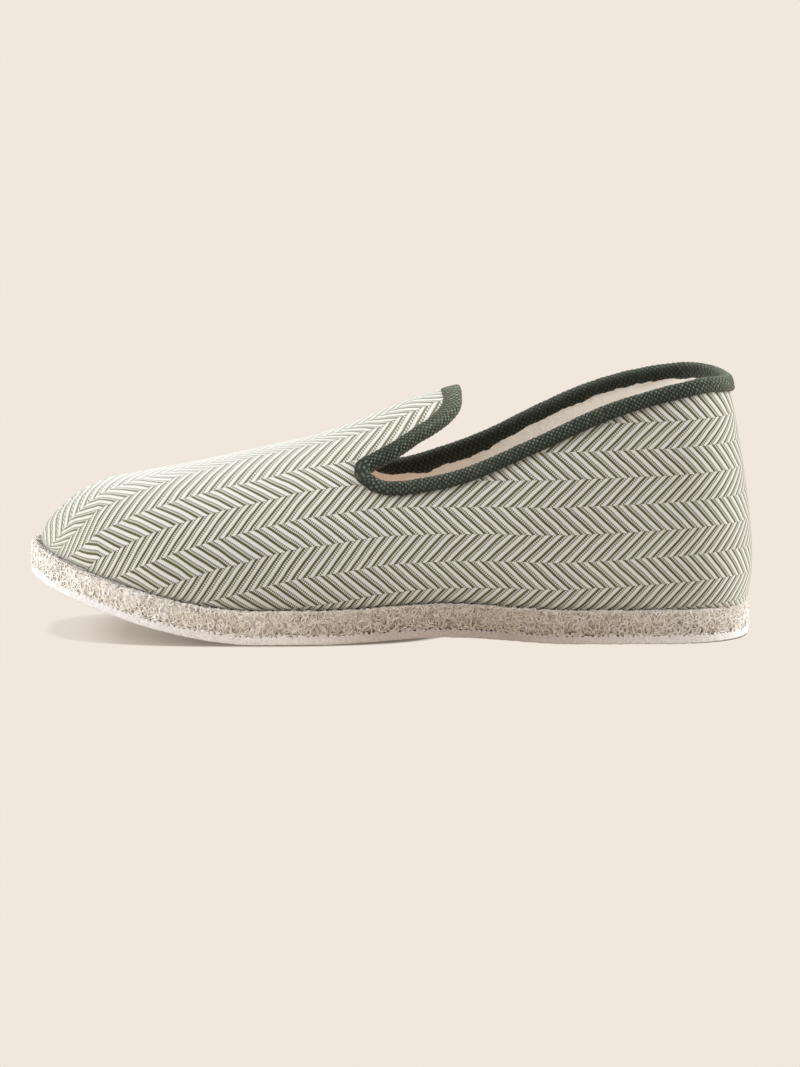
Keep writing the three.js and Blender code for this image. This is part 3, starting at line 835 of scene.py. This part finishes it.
def smoothed(values, rounds):
    """A closed run of vectors, averaged with its neighbours."""
    for _ in range(rounds):
        values = [(values[k - 1] + values[k] * 2 + values[(k + 1) % len(values)]) / 4
                  for k in range(len(values))]
    return values


tape_line, tape_step = tape_path()
tape_line = smoothed(tape_line, 4)
print(f"the opening is {len(tape_line) * tape_step:.0f} mm round")

# %% [markdown]
# Up close the tape is a dark knit whose single stitches stand up and catch the light. They sit in
# staggered columns, so the finish charts them on the tape's own UV, in millimetres along and round
# it, and lets them wander and fade unevenly. A picture of knit would repeat, and this doesn't.

# %% Knitted finish
STITCH = 1.95                  # mm from stitch to stitch


def knitted_tape():
    f = Finish("knitted_tape", roughness=0.95, sheen=0.22, sheen_roughness=0.5,
               sheen_tint=(0.97, 1.0, 0.88))
    knit = f.weave_axes()
    wander = f.math("SUBTRACT", f.lump(2.5, 2), 0.5)
    run = f.math("ADD", wander, knit[0])
    round_it = f.math("MULTIPLY_ADD", wander, -0.9, knit[1])
    # Stitches sit on a lattice: every second column is half a stitch further round.
    column = f.math("DIVIDE", run, STITCH / 2)
    odd = f.math("FLOORED_MODULO", f.math("FLOOR", column), 2)
    across = f.math("FRACT", column)
    loops = f.math("FRACT", f.math("MULTIPLY_ADD", odd, 0.5, f.math("DIVIDE", round_it, STITCH)))
    stitch = f.math("MULTIPLY", f.ramp(across, [(0.05, 0.0), (0.35, 1.0), (0.65, 1.0), (0.95, 0.0)]),
                    f.ramp(loops, [(0.10, 0.0), (0.35, 1.0), (0.55, 1.0), (0.80, 0.0)]))
    uneven = f.lump(1.8, 2)
    bright = f.math("MULTIPLY", stitch, f.math("MULTIPLY_ADD", uneven, 2.1, -0.45))
    # The fold's outer top catches the most light, the inside the least.
    where = f.math("DIVIDE", knit[1], 16.0)
    height = f.ramp(where, [(0.0, 0.30), (0.16, 0.42), (0.33, 0.80), (0.48, 1.0), (0.60, 0.35),
                            (0.75, 0.15)])
    bright = f.math("MULTIPLY", f.math("MAXIMUM", bright, 0.0), height)
    fuzz = f.lump(0.35, 3, 0.7)
    base = f.mix(fuzz, rgb(14, 18, 11), rgb(44, 50, 37))
    base = f.mix(f.ramp(where, [(0.0, 0.45), (0.10, 0.0)]), base, rgb(38, 32, 26))
    # It's palest where the light catches it, at the tongue's tip and the heel.
    ends = f.along_slipper([(27.0, 1.0), (45.9, 0.0), (110.7, 0.0), (130.95, 0.9)])
    high = f.ramp(f.math("MULTIPLY", f.object_axes()[2], 10.0), [(0.50, 0.0), (0.74, 0.08), (0.90, 1.0)])
    lit = f.math("MULTIPLY", ends, high)
    base = f.mix(f.math("MULTIPLY", lit, 0.45), base, rgb(98, 103, 86))
    lit = f.math("MULTIPLY_ADD", lit, 0.44, 0.56)
    f.colour(f.mix(f.math("MINIMUM", f.math("MULTIPLY", bright, lit), 1.0), base, rgb(176, 186, 160)))
    f.bump(f.math("MULTIPLY_ADD", fuzz, 0.5, stitch), 0.26)
    return f.material


tape_finish = knitted_tape()
print(f"a stitch every {STITCH} mm")

# %% [markdown]
# The section now has to be set up at each place of the path. A tree of the last's surface, BVHTree,
# finds the nearest place on it and the way that it faces. On the tongue the cloth curls so much that
# the tape's outer side is laid onto that surface as well, or it would stand off at its tip.

# %% Tape round the opening
def last_surface():
    """The bare last, searched for the nearest place and the way it faces."""
    bm = plain_sheet(0.0, step=2.5, side_steps=50)
    surface = BVHTree.FromBMesh(bm)
    bm.free()
    return surface


bare_last = last_surface()


def tape_frames():
    """Place, outward direction and direction into the cloth for each step of the tape."""
    count = len(tape_line)
    outward = []
    for point in tape_line:
        facing = bare_last.find_nearest(in_frame(*point))[1]
        outward.append(Vector((-facing.x, facing.y, facing.z)))     # back to along, y, z
    outward = smoothed(outward, 30)
    frames = []
    for k, point in enumerate(tape_line):
        run = (tape_line[(k + 1) % count] - tape_line[k - 1]).normalized()
        out = (outward[k] - run * outward[k].dot(run)).normalized()
        frames.append([point, out, out.cross(run)])
    # The cloth lies below the edge, at the notch as well as under the tongue's tip.
    lowest = min(range(count), key=lambda k: frames[k][0].z)
    if frames[lowest][2].z > 0:
        for entry in frames:
            entry[2] = -entry[2]
    return frames


tape_frame = tape_frames()


def tape_widths(k):
    """Shares of the drawn section: width outside, width inside and thickness.

    The last value says how far the outer side is laid onto the cloth, which is all the way on the
    tongue.
    """
    along, across, height = tape_line[k]
    on_tongue = along > 98
    side = clamp((along - 112) / 14) if height > 66 else 0
    tip = clamp((124 - along) / 12) if on_tongue and height > 76 else 0
    laid = clamp((134 - along) / 14) if on_tongue and height > 70 else 0
    long_waves = 0.22 * noise.noise(Vector((k * TAPE_STEP / 7, 0, 3)))
    short_waves = 0.12 * noise.noise(Vector((k * TAPE_STEP / 2.4, 5, 3)))
    far_notch = 0.30 * clamp((136 - along) / 10) * clamp((along - 92) / 8) * clamp(across / 10)
    inside = 1 + (long_waves + short_waves + far_notch)
    return 1 - 0.10 * side + 0.15 * tip, inside, 1 - 0.42 * tip, laid


def make_tape():
    count, rounds = len(tape_line), len(TAPE_SECTION)
    section = [Vector(p) for p in TAPE_SECTION]
    fine = [along_spline(section[-1:] + section + section[:2], (i / 2 + 1) / (rounds + 2))
            for i in range(2 * rounds)]
    size = len(fine)
    lengths = [0.0]
    for a, b in zip(fine, fine[1:] + fine[:1]):
        lengths.append(lengths[-1] + (b - a).length)
    widths = [tape_widths(k) for k in range(count)]

    def place(i, j):
        point, out, down = tape_frame[i % count]
        at = fine[j % size]
        outside, inside_width, thick, laid = widths[i % count]
        spot = in_frame(*(point + out * (at.x * thick if at.x > 0 else at.x)
                          + down * at.y * (outside if at.x > -0.9 else inside_width)))
        if laid and at.x > 0:             # the outer side lies on the tongue's curled cloth
            near, normal = bare_last.find_nearest(spot)[:2]
            spot = spot.lerp(near + normal * (at.x * thick - SUNK) * MM, laid * clamp(at.y / 3))
        return spot

    bm, spot = grid_mesh(count, size, place, lambda i, j: (i * tape_step, lengths[j]))
    bmesh.ops.remove_doubles(bm, verts=bm.verts, dist=0.001 * MM)
    bmesh.ops.recalc_face_normals(bm, faces=bm.faces)
    bm.normal_update()
    for v, (i, j) in spot.items():
        if v.is_valid:
            rib = 0.10 * math.sin(2 * math.pi * (i * tape_step / STITCH + (0.5 if j % 4 < 2 else 0)))
            v.co += v.normal * (rib + 0.14 * speckle(v.co, 1.6, 4) + 0.12 * speckle(v.co, 6, 8)) * MM
    return finish_piece(bm, "knitted_tape", tape_finish, "binding")


make_tape()

# %% [markdown]
# The sole's layers share one outline. Each is a section drawn at the edge and carried round that
# outline, level with the last's own heights, and its top and underside then run in to the middle
# line, where they close.

# %% A layer of the sole
def outline(start, end, inset, step):
    """Even places round the sole, with the outward direction in plan."""
    fine = 1500
    half = {side: [] for side in (OUTER, INNER)}
    for side in (OUTER, INNER):
        for i in range(fine + 1):
            along = mix(start, end, (1 - math.cos(math.pi * i / fine)) / 2)
            half[side].append(Vector((along, plan_edge(along, side, start, end, inset))))
    places, gap = even_places(half[OUTER] + half[INNER][::-1][1:-1], step)
    outward = []
    for before, after in zip(places[-1:] + places, places[1:] + places[:1]):
        run = (after - before).normalized()
        outward.append(Vector((-run.y, run.x)))
    if outward[0].x > 0:
        outward = [-o for o in outward]
    return places, outward, gap


def sole_sheet(start, end, inset, step, profile):
    """A closed layer from profile(s), the section s mm round the outline.

    Each of its points is (mm outward, level, share of the way from there to the middle line).
    """
    places, outward, gap = outline(start, end, inset, step)
    count = len(places)
    rows = [profile(k * gap) for k in range(count)]

    def place(i, j):
        k = i % count
        out, level, share = rows[k][j]
        edge, direction = places[k], outward[k]
        x, y = edge.x + direction.x * out, edge.y + direction.y * out
        if share > 0:
            spine_x = 2.5 * round(clamp(edge.x, start + 28, end - 44) / 2.5)
            x, y = mix(x, spine_x, share), mix(y, centre_line(spine_x), share)
        return in_frame(x, y, sole_height(clamp(x, 0, SOLE_LENGTH), y, level))

    bm, _ = grid_mesh(count, len(rows[0]) - 1, place, lambda i, j: (i * gap, rows[i % count][j][1]))
    bmesh.ops.remove_doubles(bm, verts=bm.verts, dist=0.01 * MM)
    face_outward(bm, 12)
    bm.normal_update()
    return bm


print("outline of", len(outline(0, SOLE_LENGTH, 0, 1.0)[0]), "mm")

# %% [markdown]
# The midsole's wool is matted into curls, so its sides are raised and cut by noise of two sizes, and
# its colour runs from cream on the curls to brown in the gaps. A ramp along the slipper paints shade
# on its middle, darkest and a little browner at the waist.

# %% Felt midsole
def matted_wool(name, curl, middle, gap, tones):
    """Felt whose curls are pale and gaps brown, darkened along the sole by painted shade, given as (mm
    toward the heel, tone).
    """
    f = Finish(name, roughness=1.0, sheen=0.8, sheen_roughness=0.5, sheen_tint=(1.0, 0.97, 0.93))
    where = f.node("ShaderNodeTexCoord").outputs["Object"]
    bend = f.node("ShaderNodeTexNoise", None, Vector=where, Scale=1 / (2.6 * MM), Detail=2.0)
    pulled = f.node("ShaderNodeVectorMath", {"operation": "MULTIPLY_ADD"}, _0=bend.outputs["Color"],
                    _1=(0.0022, 0.0022, 0.0022), _2=where).outputs[0]
    strands = f.node("ShaderNodeTexVoronoi", {"feature": "DISTANCE_TO_EDGE"}, Vector=pulled,
                     Scale=1 / (0.85 * MM)).outputs["Distance"]
    lumps = f.lump(1.1, 4, 0.65, pulled)
    wide = f.lump(9, 2)
    shade = f.math("MULTIPLY_ADD", lumps, 0.75, f.math("MULTIPLY", strands, 0.35))
    shade = f.math("MULTIPLY_ADD", f.math("SUBTRACT", wide, 0.5), 0.18, shade)
    wool = f.ramp(shade, [(0.28, gap), (0.43, middle), (0.60, curl)])
    # Painted shade along the sole, darkest at the waist.
    f.colour(f.mix(1.0, wool, f.along_slipper(tones), "MULTIPLY"))
    f.bump(f.math("MULTIPLY_ADD", strands, 0.5, lumps), 0.8)
    return f.material


# Painted shade on the felt: darkest at the waist, none at the toe and the heel's back.
FELT_PAINTED_SHADE = ((-115, (1, 1, 1)), (-62, (.92, .89, .84)), (-5, (.66, .60, .54)), (35, (.60, .53, .47)),
              (92, (.71, .66, .61)), (120, (.82, .79, .75)), (133, (1, 1, 1)))
felt_finish = matted_wool("wool_felt", rgb(250, 248, 246), rgb(230, 222, 212), rgb(156, 140, 120),
                          FELT_PAINTED_SHADE)
DRAW_IN = RIM_THICKNESS + GAP
FELT_STEP = 0.62


def felt_profile(s):
    bottom, top = OUTSOLE_THICKNESS + GAP, FELT_TOP
    rows = [(-1.0, bottom, share) for share in (1, .8, .55, .3, .1, .03)]
    rows += [(-0.6, bottom, 0), (0.1, bottom + 0.1, 0)]
    steps = 14
    for i in range(steps + 1):
        u = i / steps
        rows.append((0.15 + 0.75 * math.sin(math.pi * u) ** 0.7, mix(bottom + 0.3, top - 1.0, u), 0))
    rows += [(0.0, top - 0.4, 0), (-0.5, top - 0.05, 0), (-1.1, top, 0), (-1.8, top, 0),
             (-2.5, top, 0), (-3.2, top, 0), (-3.9, top, 0), (-4.6, top, 0), (-5.4, top, 0),
             (-6.2, top, 0), (-7.2, top, 0)]
    rows += [(-8.0, top, share) for share in (.1, .3, .55, .8, 1)]
    return rows


def make_felt():
    bm = sole_sheet(DRAW_IN, SOLE_LENGTH - DRAW_IN, DRAW_IN, FELT_STEP, felt_profile)
    for v in bm.verts:
        v.co += v.normal * (0.42 * speckle(v.co, 1.4, 6) + 0.35 * speckle(v.co, 3.6, 2)
                            + 0.25 * speckle(v.co, 14, 7)) * MM
    return finish_piece(bm, "wool_felt", felt_finish, "midsole")


make_felt()

# %% [markdown]
# What reads as felt up close is its curled strands: pale locks of wool, half a millimetre thick,
# that loop over the surface and dive back in. Each is a narrow raised strip of a single grid, led
# over the felt's side along a wandering curve, and the strips are then cut apart.

# %% Curled strands
def strips(name, strands, width, crest, material, replaced):
    """Strips along strands, which are lists of (place, outward direction), each with a number."""
    steps = len(strands[0][0]) - 1
    wide = 3

    def place(i, j):
        line, _, size = strands[i // wide]
        point, out = line[j]
        ahead = (line[min(j + 1, steps)][0] - line[max(j - 1, 0)][0]).normalized()
        across = ahead.cross(out).normalized()
        thick = math.sin(math.pi * (0.12 + 0.80 * j / steps)) ** 0.5 * size
        side = i % wide - 1
        return point + (across * side * width / 2 + out * (crest if side == 0 else 0)) * thick * MM

    bm, spot = grid_mesh(wide * len(strands) - 1, steps, place,
                         lambda i, j: (strands[i // wide][1], j / steps))
    between_strands = [face for face in bm.faces
                       if len({spot[v][0] // wide for v in face.verts}) > 1]
    bmesh.ops.delete(bm, geom=between_strands, context="FACES")
    bm.normal_update()
    wrong = [face for face in bm.faces
             if face.normal.dot(strands[spot[face.verts[0]][0] // wide][0][0][1]) < 0]
    bmesh.ops.reverse_faces(bm, faces=wrong)
    return finish_piece(bm, name, material, replaced)


# Distance up the felt's side, mm outward, level
FELT_RISE = ((0, .60, 3.5), (1.0, .85, 4.3), (3.7, .88, 7.6), (7.0, .25, 11.2), (7.9, -.25, 11.9),
             (8.7, -1.0, 12.2), (14.0, -6.3, 12.2))


def felt_strands(count, seed):
    chance = random.Random(seed)
    places, outward, gap = outline(DRAW_IN, SOLE_LENGTH - DRAW_IN, DRAW_IN, FELT_STEP)
    size = len(places)

    def on_felt(s, t):
        k = s / gap
        share, low = k - math.floor(k), math.floor(k)
        edge = places[low % size].lerp(places[(low + 1) % size], share)
        away = outward[low % size].lerp(outward[(low + 1) % size], share).normalized()
        t = clamp(t, 0, FELT_RISE[-1][0])
        n = next(n for n in range(len(FELT_RISE) - 1) if t <= FELT_RISE[n + 1][0])
        (ta, oa, la), (tb, ob, lb) = FELT_RISE[n], FELT_RISE[n + 1]
        u = (t - ta) / (tb - ta)
        x, y = edge.x + away.x * mix(oa, ob, u), edge.y + away.y * mix(oa, ob, u)
        point = in_frame(x, y, sole_height(clamp(x, 0, SOLE_LENGTH), y, mix(la, lb, u)))
        flat = clamp((t - 7.0) / 1.6)
        normal = Vector((-away.x * (1 - flat), away.y * (1 - flat), 0.15 + flat)).normalized()
        return point + normal * 0.42 * speckle(point, 1.4, 6) * MM, normal

    strands = []
    for _ in range(count):
        s, t = chance.uniform(0, size * gap), chance.uniform(-0.5, 9.6)
        heading, bend = chance.uniform(0, 2 * math.pi), chance.choice((-1, 1)) / chance.uniform(0.7, 2.0)
        stride, line = chance.uniform(0.32, 0.55), []
        steps = 11
        for step in range(steps + 1):
            point, normal = on_felt(s, t)
            lift = 0.06 + 0.22 * math.sin(math.pi * step / steps)
            line.append((point + normal * lift * MM, normal))
            s, t = s + math.cos(heading) * stride, t + math.sin(heading) * stride
            heading += bend * stride
            bend += chance.uniform(-0.35, 0.35)
        strands.append((line, chance.random(), chance.uniform(0.7, 1.25)))
    return strands


def strand_wool():
    f = Finish("curled_wool", roughness=1.0, sheen=0.8, sheen_roughness=0.5, sheen_tint=(1.0, 0.97, 0.93))
    wool = f.ramp(f.weave_axes()[0], [(0.0, rgb(222, 211, 197)), (0.5, rgb(240, 232, 221)),
                                      (1.0, rgb(252, 250, 246))])
    # The strands carry the felt's painted shade.
    f.colour(f.mix(1.0, wool, f.along_slipper(FELT_PAINTED_SHADE), "MULTIPLY"))
    f.bump(f.lump(0.25, 2), 0.15)
    return f.material


curled_wool = strand_wool()
STRANDS, STRAND_WIDTH, STRAND_CREST = 3400, 0.46, 0.17         # how many, and mm
strips("felt_strands", felt_strands(STRANDS, 21), STRAND_WIDTH, STRAND_CREST, curled_wool,
       "midsole")

# %% [markdown]
# The outsole is a thin white sheet whose cut edge stands up round the foot of the felt as a row of
# soft, worn scallops. They're irregular on the real slipper, so each scallop's height and width
# wander a little with a seeded random, and the edge is roughened by the same kind of noise.

# %% Toothed outsole
TOOTH = 1.9
OUTSOLE_INSET, OUTSOLE_STEP = 0.35, 0.36


def outsole_profile_maker():
    chance = random.Random(7)
    teeth = [(chance.uniform(0.35, 1.25), chance.uniform(-0.4, 0.4)) for _ in range(400)]

    def profile(s):
        number = int(s / TOOTH)
        height, slip = teeth[number % len(teeth)]
        u = (s / TOOTH - number - 0.5 - slip * 0.4) * 2
        tooth = 1.2 * height * max(1 - abs(u) ** 1.7, 0) ** 0.7
        bulge = 0.2 * max(1 - abs(u) ** 2, 0)
        top = OUTSOLE_THICKNESS + tooth
        rows = [(-1.0, 0, share) for share in (1, .8, .55, .3, .1, .03)]
        rows += [(-0.8, 0, 0), (-0.2, 0.15, 0)]
        rows += [(0.05 + bulge * (i / 7) ** 3, mix(0.5, top - 0.3, i / 7), 0) for i in range(8)]
        rows += [(-0.15, top, 0), (-0.5, top, 0), (-0.8, top - 0.5, 0), (-0.85, OUTSOLE_THICKNESS - 0.2, 0)]
        rows += [(-1.5, OUTSOLE_THICKNESS - 0.2, share) for share in (.03, .1, .3, .55, .8, 1)]
        return rows

    return profile


# Painted shade on the white rubber, darkest toward the middle of the sole.
RUBBER_PAINTED_SHADE = ((-115, (.88, .88, .90)), (-40, (.95, .92, .89)), (-5, (.60, .53, .48)),
                (45, (.48, .42, .38)), (100, (.80, .77, .74)), (133, (.97, .96, .95)))


def white_rubber():
    f = Finish("foam_rubber", roughness=0.85, sheen=0.2, sheen_roughness=0.5)
    grain = f.lump(0.8, 4, 0.7)
    white = f.ramp(grain, [(0.30, rgb(214, 204, 198)), (0.52, rgb(244, 240, 236))])
    # Painted shade along the sole.
    white = f.mix(1.0, white, f.along_slipper(RUBBER_PAINTED_SHADE), "MULTIPLY")
    # A thin line of painted contact shadow runs along the edge that touches the ground.
    painted_contact_shadow = f.ramp(f.math("DIVIDE", f.object_axes()[2], MM), [(0.55, 0.95), (1.05, 0.0)])
    f.colour(f.mix(painted_contact_shadow, white, rgb(96, 84, 80)))
    f.bump(grain, 0.25)
    return f.material


rubber_finish = white_rubber()


def make_outsole():
    bm = sole_sheet(OUTSOLE_INSET, SOLE_LENGTH - OUTSOLE_INSET, OUTSOLE_INSET, OUTSOLE_STEP,
                    outsole_profile_maker())
    for v in bm.verts:
        if v.co.z > 0.4 * MM:
            v.co += v.normal * (0.12 * speckle(v.co, 0.9, 3) + 0.12 * speckle(v.co, 2.6, 12)) * MM
    return finish_piece(bm, "toothed_outsole", rubber_finish, "outsole")


make_outsole()

# %% [markdown]
# Inside lies a sock of the same wool fleece as the lining. The photo doesn't show it, but it's what
# such a slipper has, and it's seen from above through the collar.

# %% Fleece insole
insole_finish = fleece("fleece_insole", rgb(248, 242, 232), rgb(226, 212, 192))


def insole_profile(s):
    bottom = FELT_TOP + GAP
    top = bottom + 3
    rows = [(-1.0, bottom, share) for share in (1, .7, .4, .15, .03)]
    rows += [(-0.5, bottom, 0), (0, bottom + 0.8, 0), (0, top - 0.9, 0), (-0.5, top - 0.2, 0)]
    rows += [(-1.2, top, i / 26) for i in range(27)]
    return rows


def make_insole():
    inset = WALL + 1.2
    bm = sole_sheet(inset - HEEL_OVERHANG, SOLE_LENGTH - TOE_LEDGE - inset, SIDE_LEDGE + inset, 1.3,
                    insole_profile)
    for v in bm.verts:
        if v.normal.z > 0.3:
            v.co += v.normal * (tuft_height(v.co) - 0.5) * MM
    return finish_piece(bm, "fleece_insole", insole_finish, "insole")


make_insole()

# %% [markdown]
# The photo shows the slipper on a plain pale ground in soft, even light. Three very wide suns, from
# the toe's side, the heel's side and behind, and a faint white sky give that light. The ground glows
# with its own plain tone, and only in an oval under the lifted toe does it take the slipper's shade.

# %% Ground and light
GROUND = (0.880, 0.799, 0.723)
SHADE_MIDDLE, SHADE_REACH = (-52.8, 8.3), (77.8, 44.8)     # mm toward the heel and the inner side
LIGHTS = (                     # name, direction the light comes from, spread in degrees, strength
    ("toe_side", (-0.85, -0.20, 0.50), 60, 1.18),
    ("heel_side", (0.85, 0.10, 0.50), 60, 1.28),
    ("behind", (0.0, 0.70, 0.70), 60, 0.17),
)
SKY = 0.17
OPEN_GROUND = SKY + sum(strength * Vector(toward).normalized().z for _, toward, _, strength in LIGHTS)


def ground_finish():
    """A ground that glows evenly, and takes shade only in an oval under the toe."""
    f = Finish("ground", roughness=1.0)
    squares = []
    for place, middle, reach in zip(f.object_axes(), SHADE_MIDDLE, SHADE_REACH):
        off = f.math("ABSOLUTE", f.math("SUBTRACT", place, middle * MM))
        squares.append(f.math("POWER", f.math("DIVIDE", off, reach * MM), 2.6))
    oval = f.ramp(f.math("ADD", *squares), [(0.86, 1.0), (1.0, 0.0)])
    deeper = f.along_slipper([(-129.2, 0.40), (-115.8, 0.46), (-99.2, 0.80), (-70.8, 0.88)])
    f.shader.inputs["Specular IOR Level"].default_value = 0.0
    f.shader.inputs["Base Color"].default_value = (*(c / OPEN_GROUND for c in GROUND), 1)
    share = f.math("MULTIPLY", oval, deeper)
    glow = f.node("ShaderNodeEmission", None, Color=(*GROUND, 1), Strength=1.0)
    blend = f.node("ShaderNodeMixShader", None, _0=share, _1=glow.outputs[0], _2=f.shader.outputs[0])
    f.tree.links.new(blend.outputs[0], f.tree.nodes["Material Output"].inputs["Surface"])
    return f.material


def make_stage():
    bm = bmesh.new()
    bmesh.ops.create_grid(bm, x_segments=1, y_segments=1, size=15)
    mesh = bpy.data.meshes.new("ground")
    bm.to_mesh(mesh)
    bm.free()
    mesh.materials.append(ground_finish())
    ground = bpy.data.objects.new("ground", mesh)
    bpy.context.scene.collection.objects.link(ground)

    world = bpy.data.worlds.new("studio")
    world.use_nodes = True
    bpy.context.scene.world = world
    sky = world.node_tree.nodes["Background"]
    sky.inputs["Color"].default_value = (1, 1, 1, 1)
    sky.inputs["Strength"].default_value = SKY

    for name, toward, spread, strength in LIGHTS:
        sun = bpy.data.lights.new(name, "SUN")
        sun.energy, sun.angle = strength * math.pi, math.radians(spread)
        lamp = bpy.data.objects.new(name, sun)
        lamp.location = Vector(toward).normalized()
        lamp.rotation_euler = lamp.location.to_track_quat("Z", "Y").to_euler()
        bpy.context.scene.collection.objects.link(lamp)


make_stage()
print(f"open ground gets {OPEN_GROUND:.2f} of a white light")

# %% [markdown]
# The photo looks straight at the outer side, from far off, so that near and far edges hardly differ
# in size. A long lens at three metres gives that. The camera stands a little above the slipper, and
# so the far side of the collar shows over the near one.

# %% Camera
CAMERA_RISE, CAMERA_DISTANCE, LOOK_AT = 8.5, 3.0, Vector((0.0036, 0, 0.0372))
LENS = 360.5


def make_camera():
    data = bpy.data.cameras.new("camera")
    data.sensor_width, data.sensor_fit, data.lens = 36, "HORIZONTAL", LENS
    camera = bpy.data.objects.new("camera", data)
    rise = math.radians(CAMERA_RISE)
    away = Vector((0, -math.cos(rise), math.sin(rise)))
    camera.location = LOOK_AT + away * CAMERA_DISTANCE
    camera.rotation_euler = away.to_track_quat("Z", "Y").to_euler()
    bpy.context.scene.collection.objects.link(camera)
    bpy.context.scene.camera = camera


make_camera()
bpy.context.scene.view_settings.view_transform = "Standard"
print(f"camera {CAMERA_DISTANCE} m away, {CAMERA_RISE} degrees up")
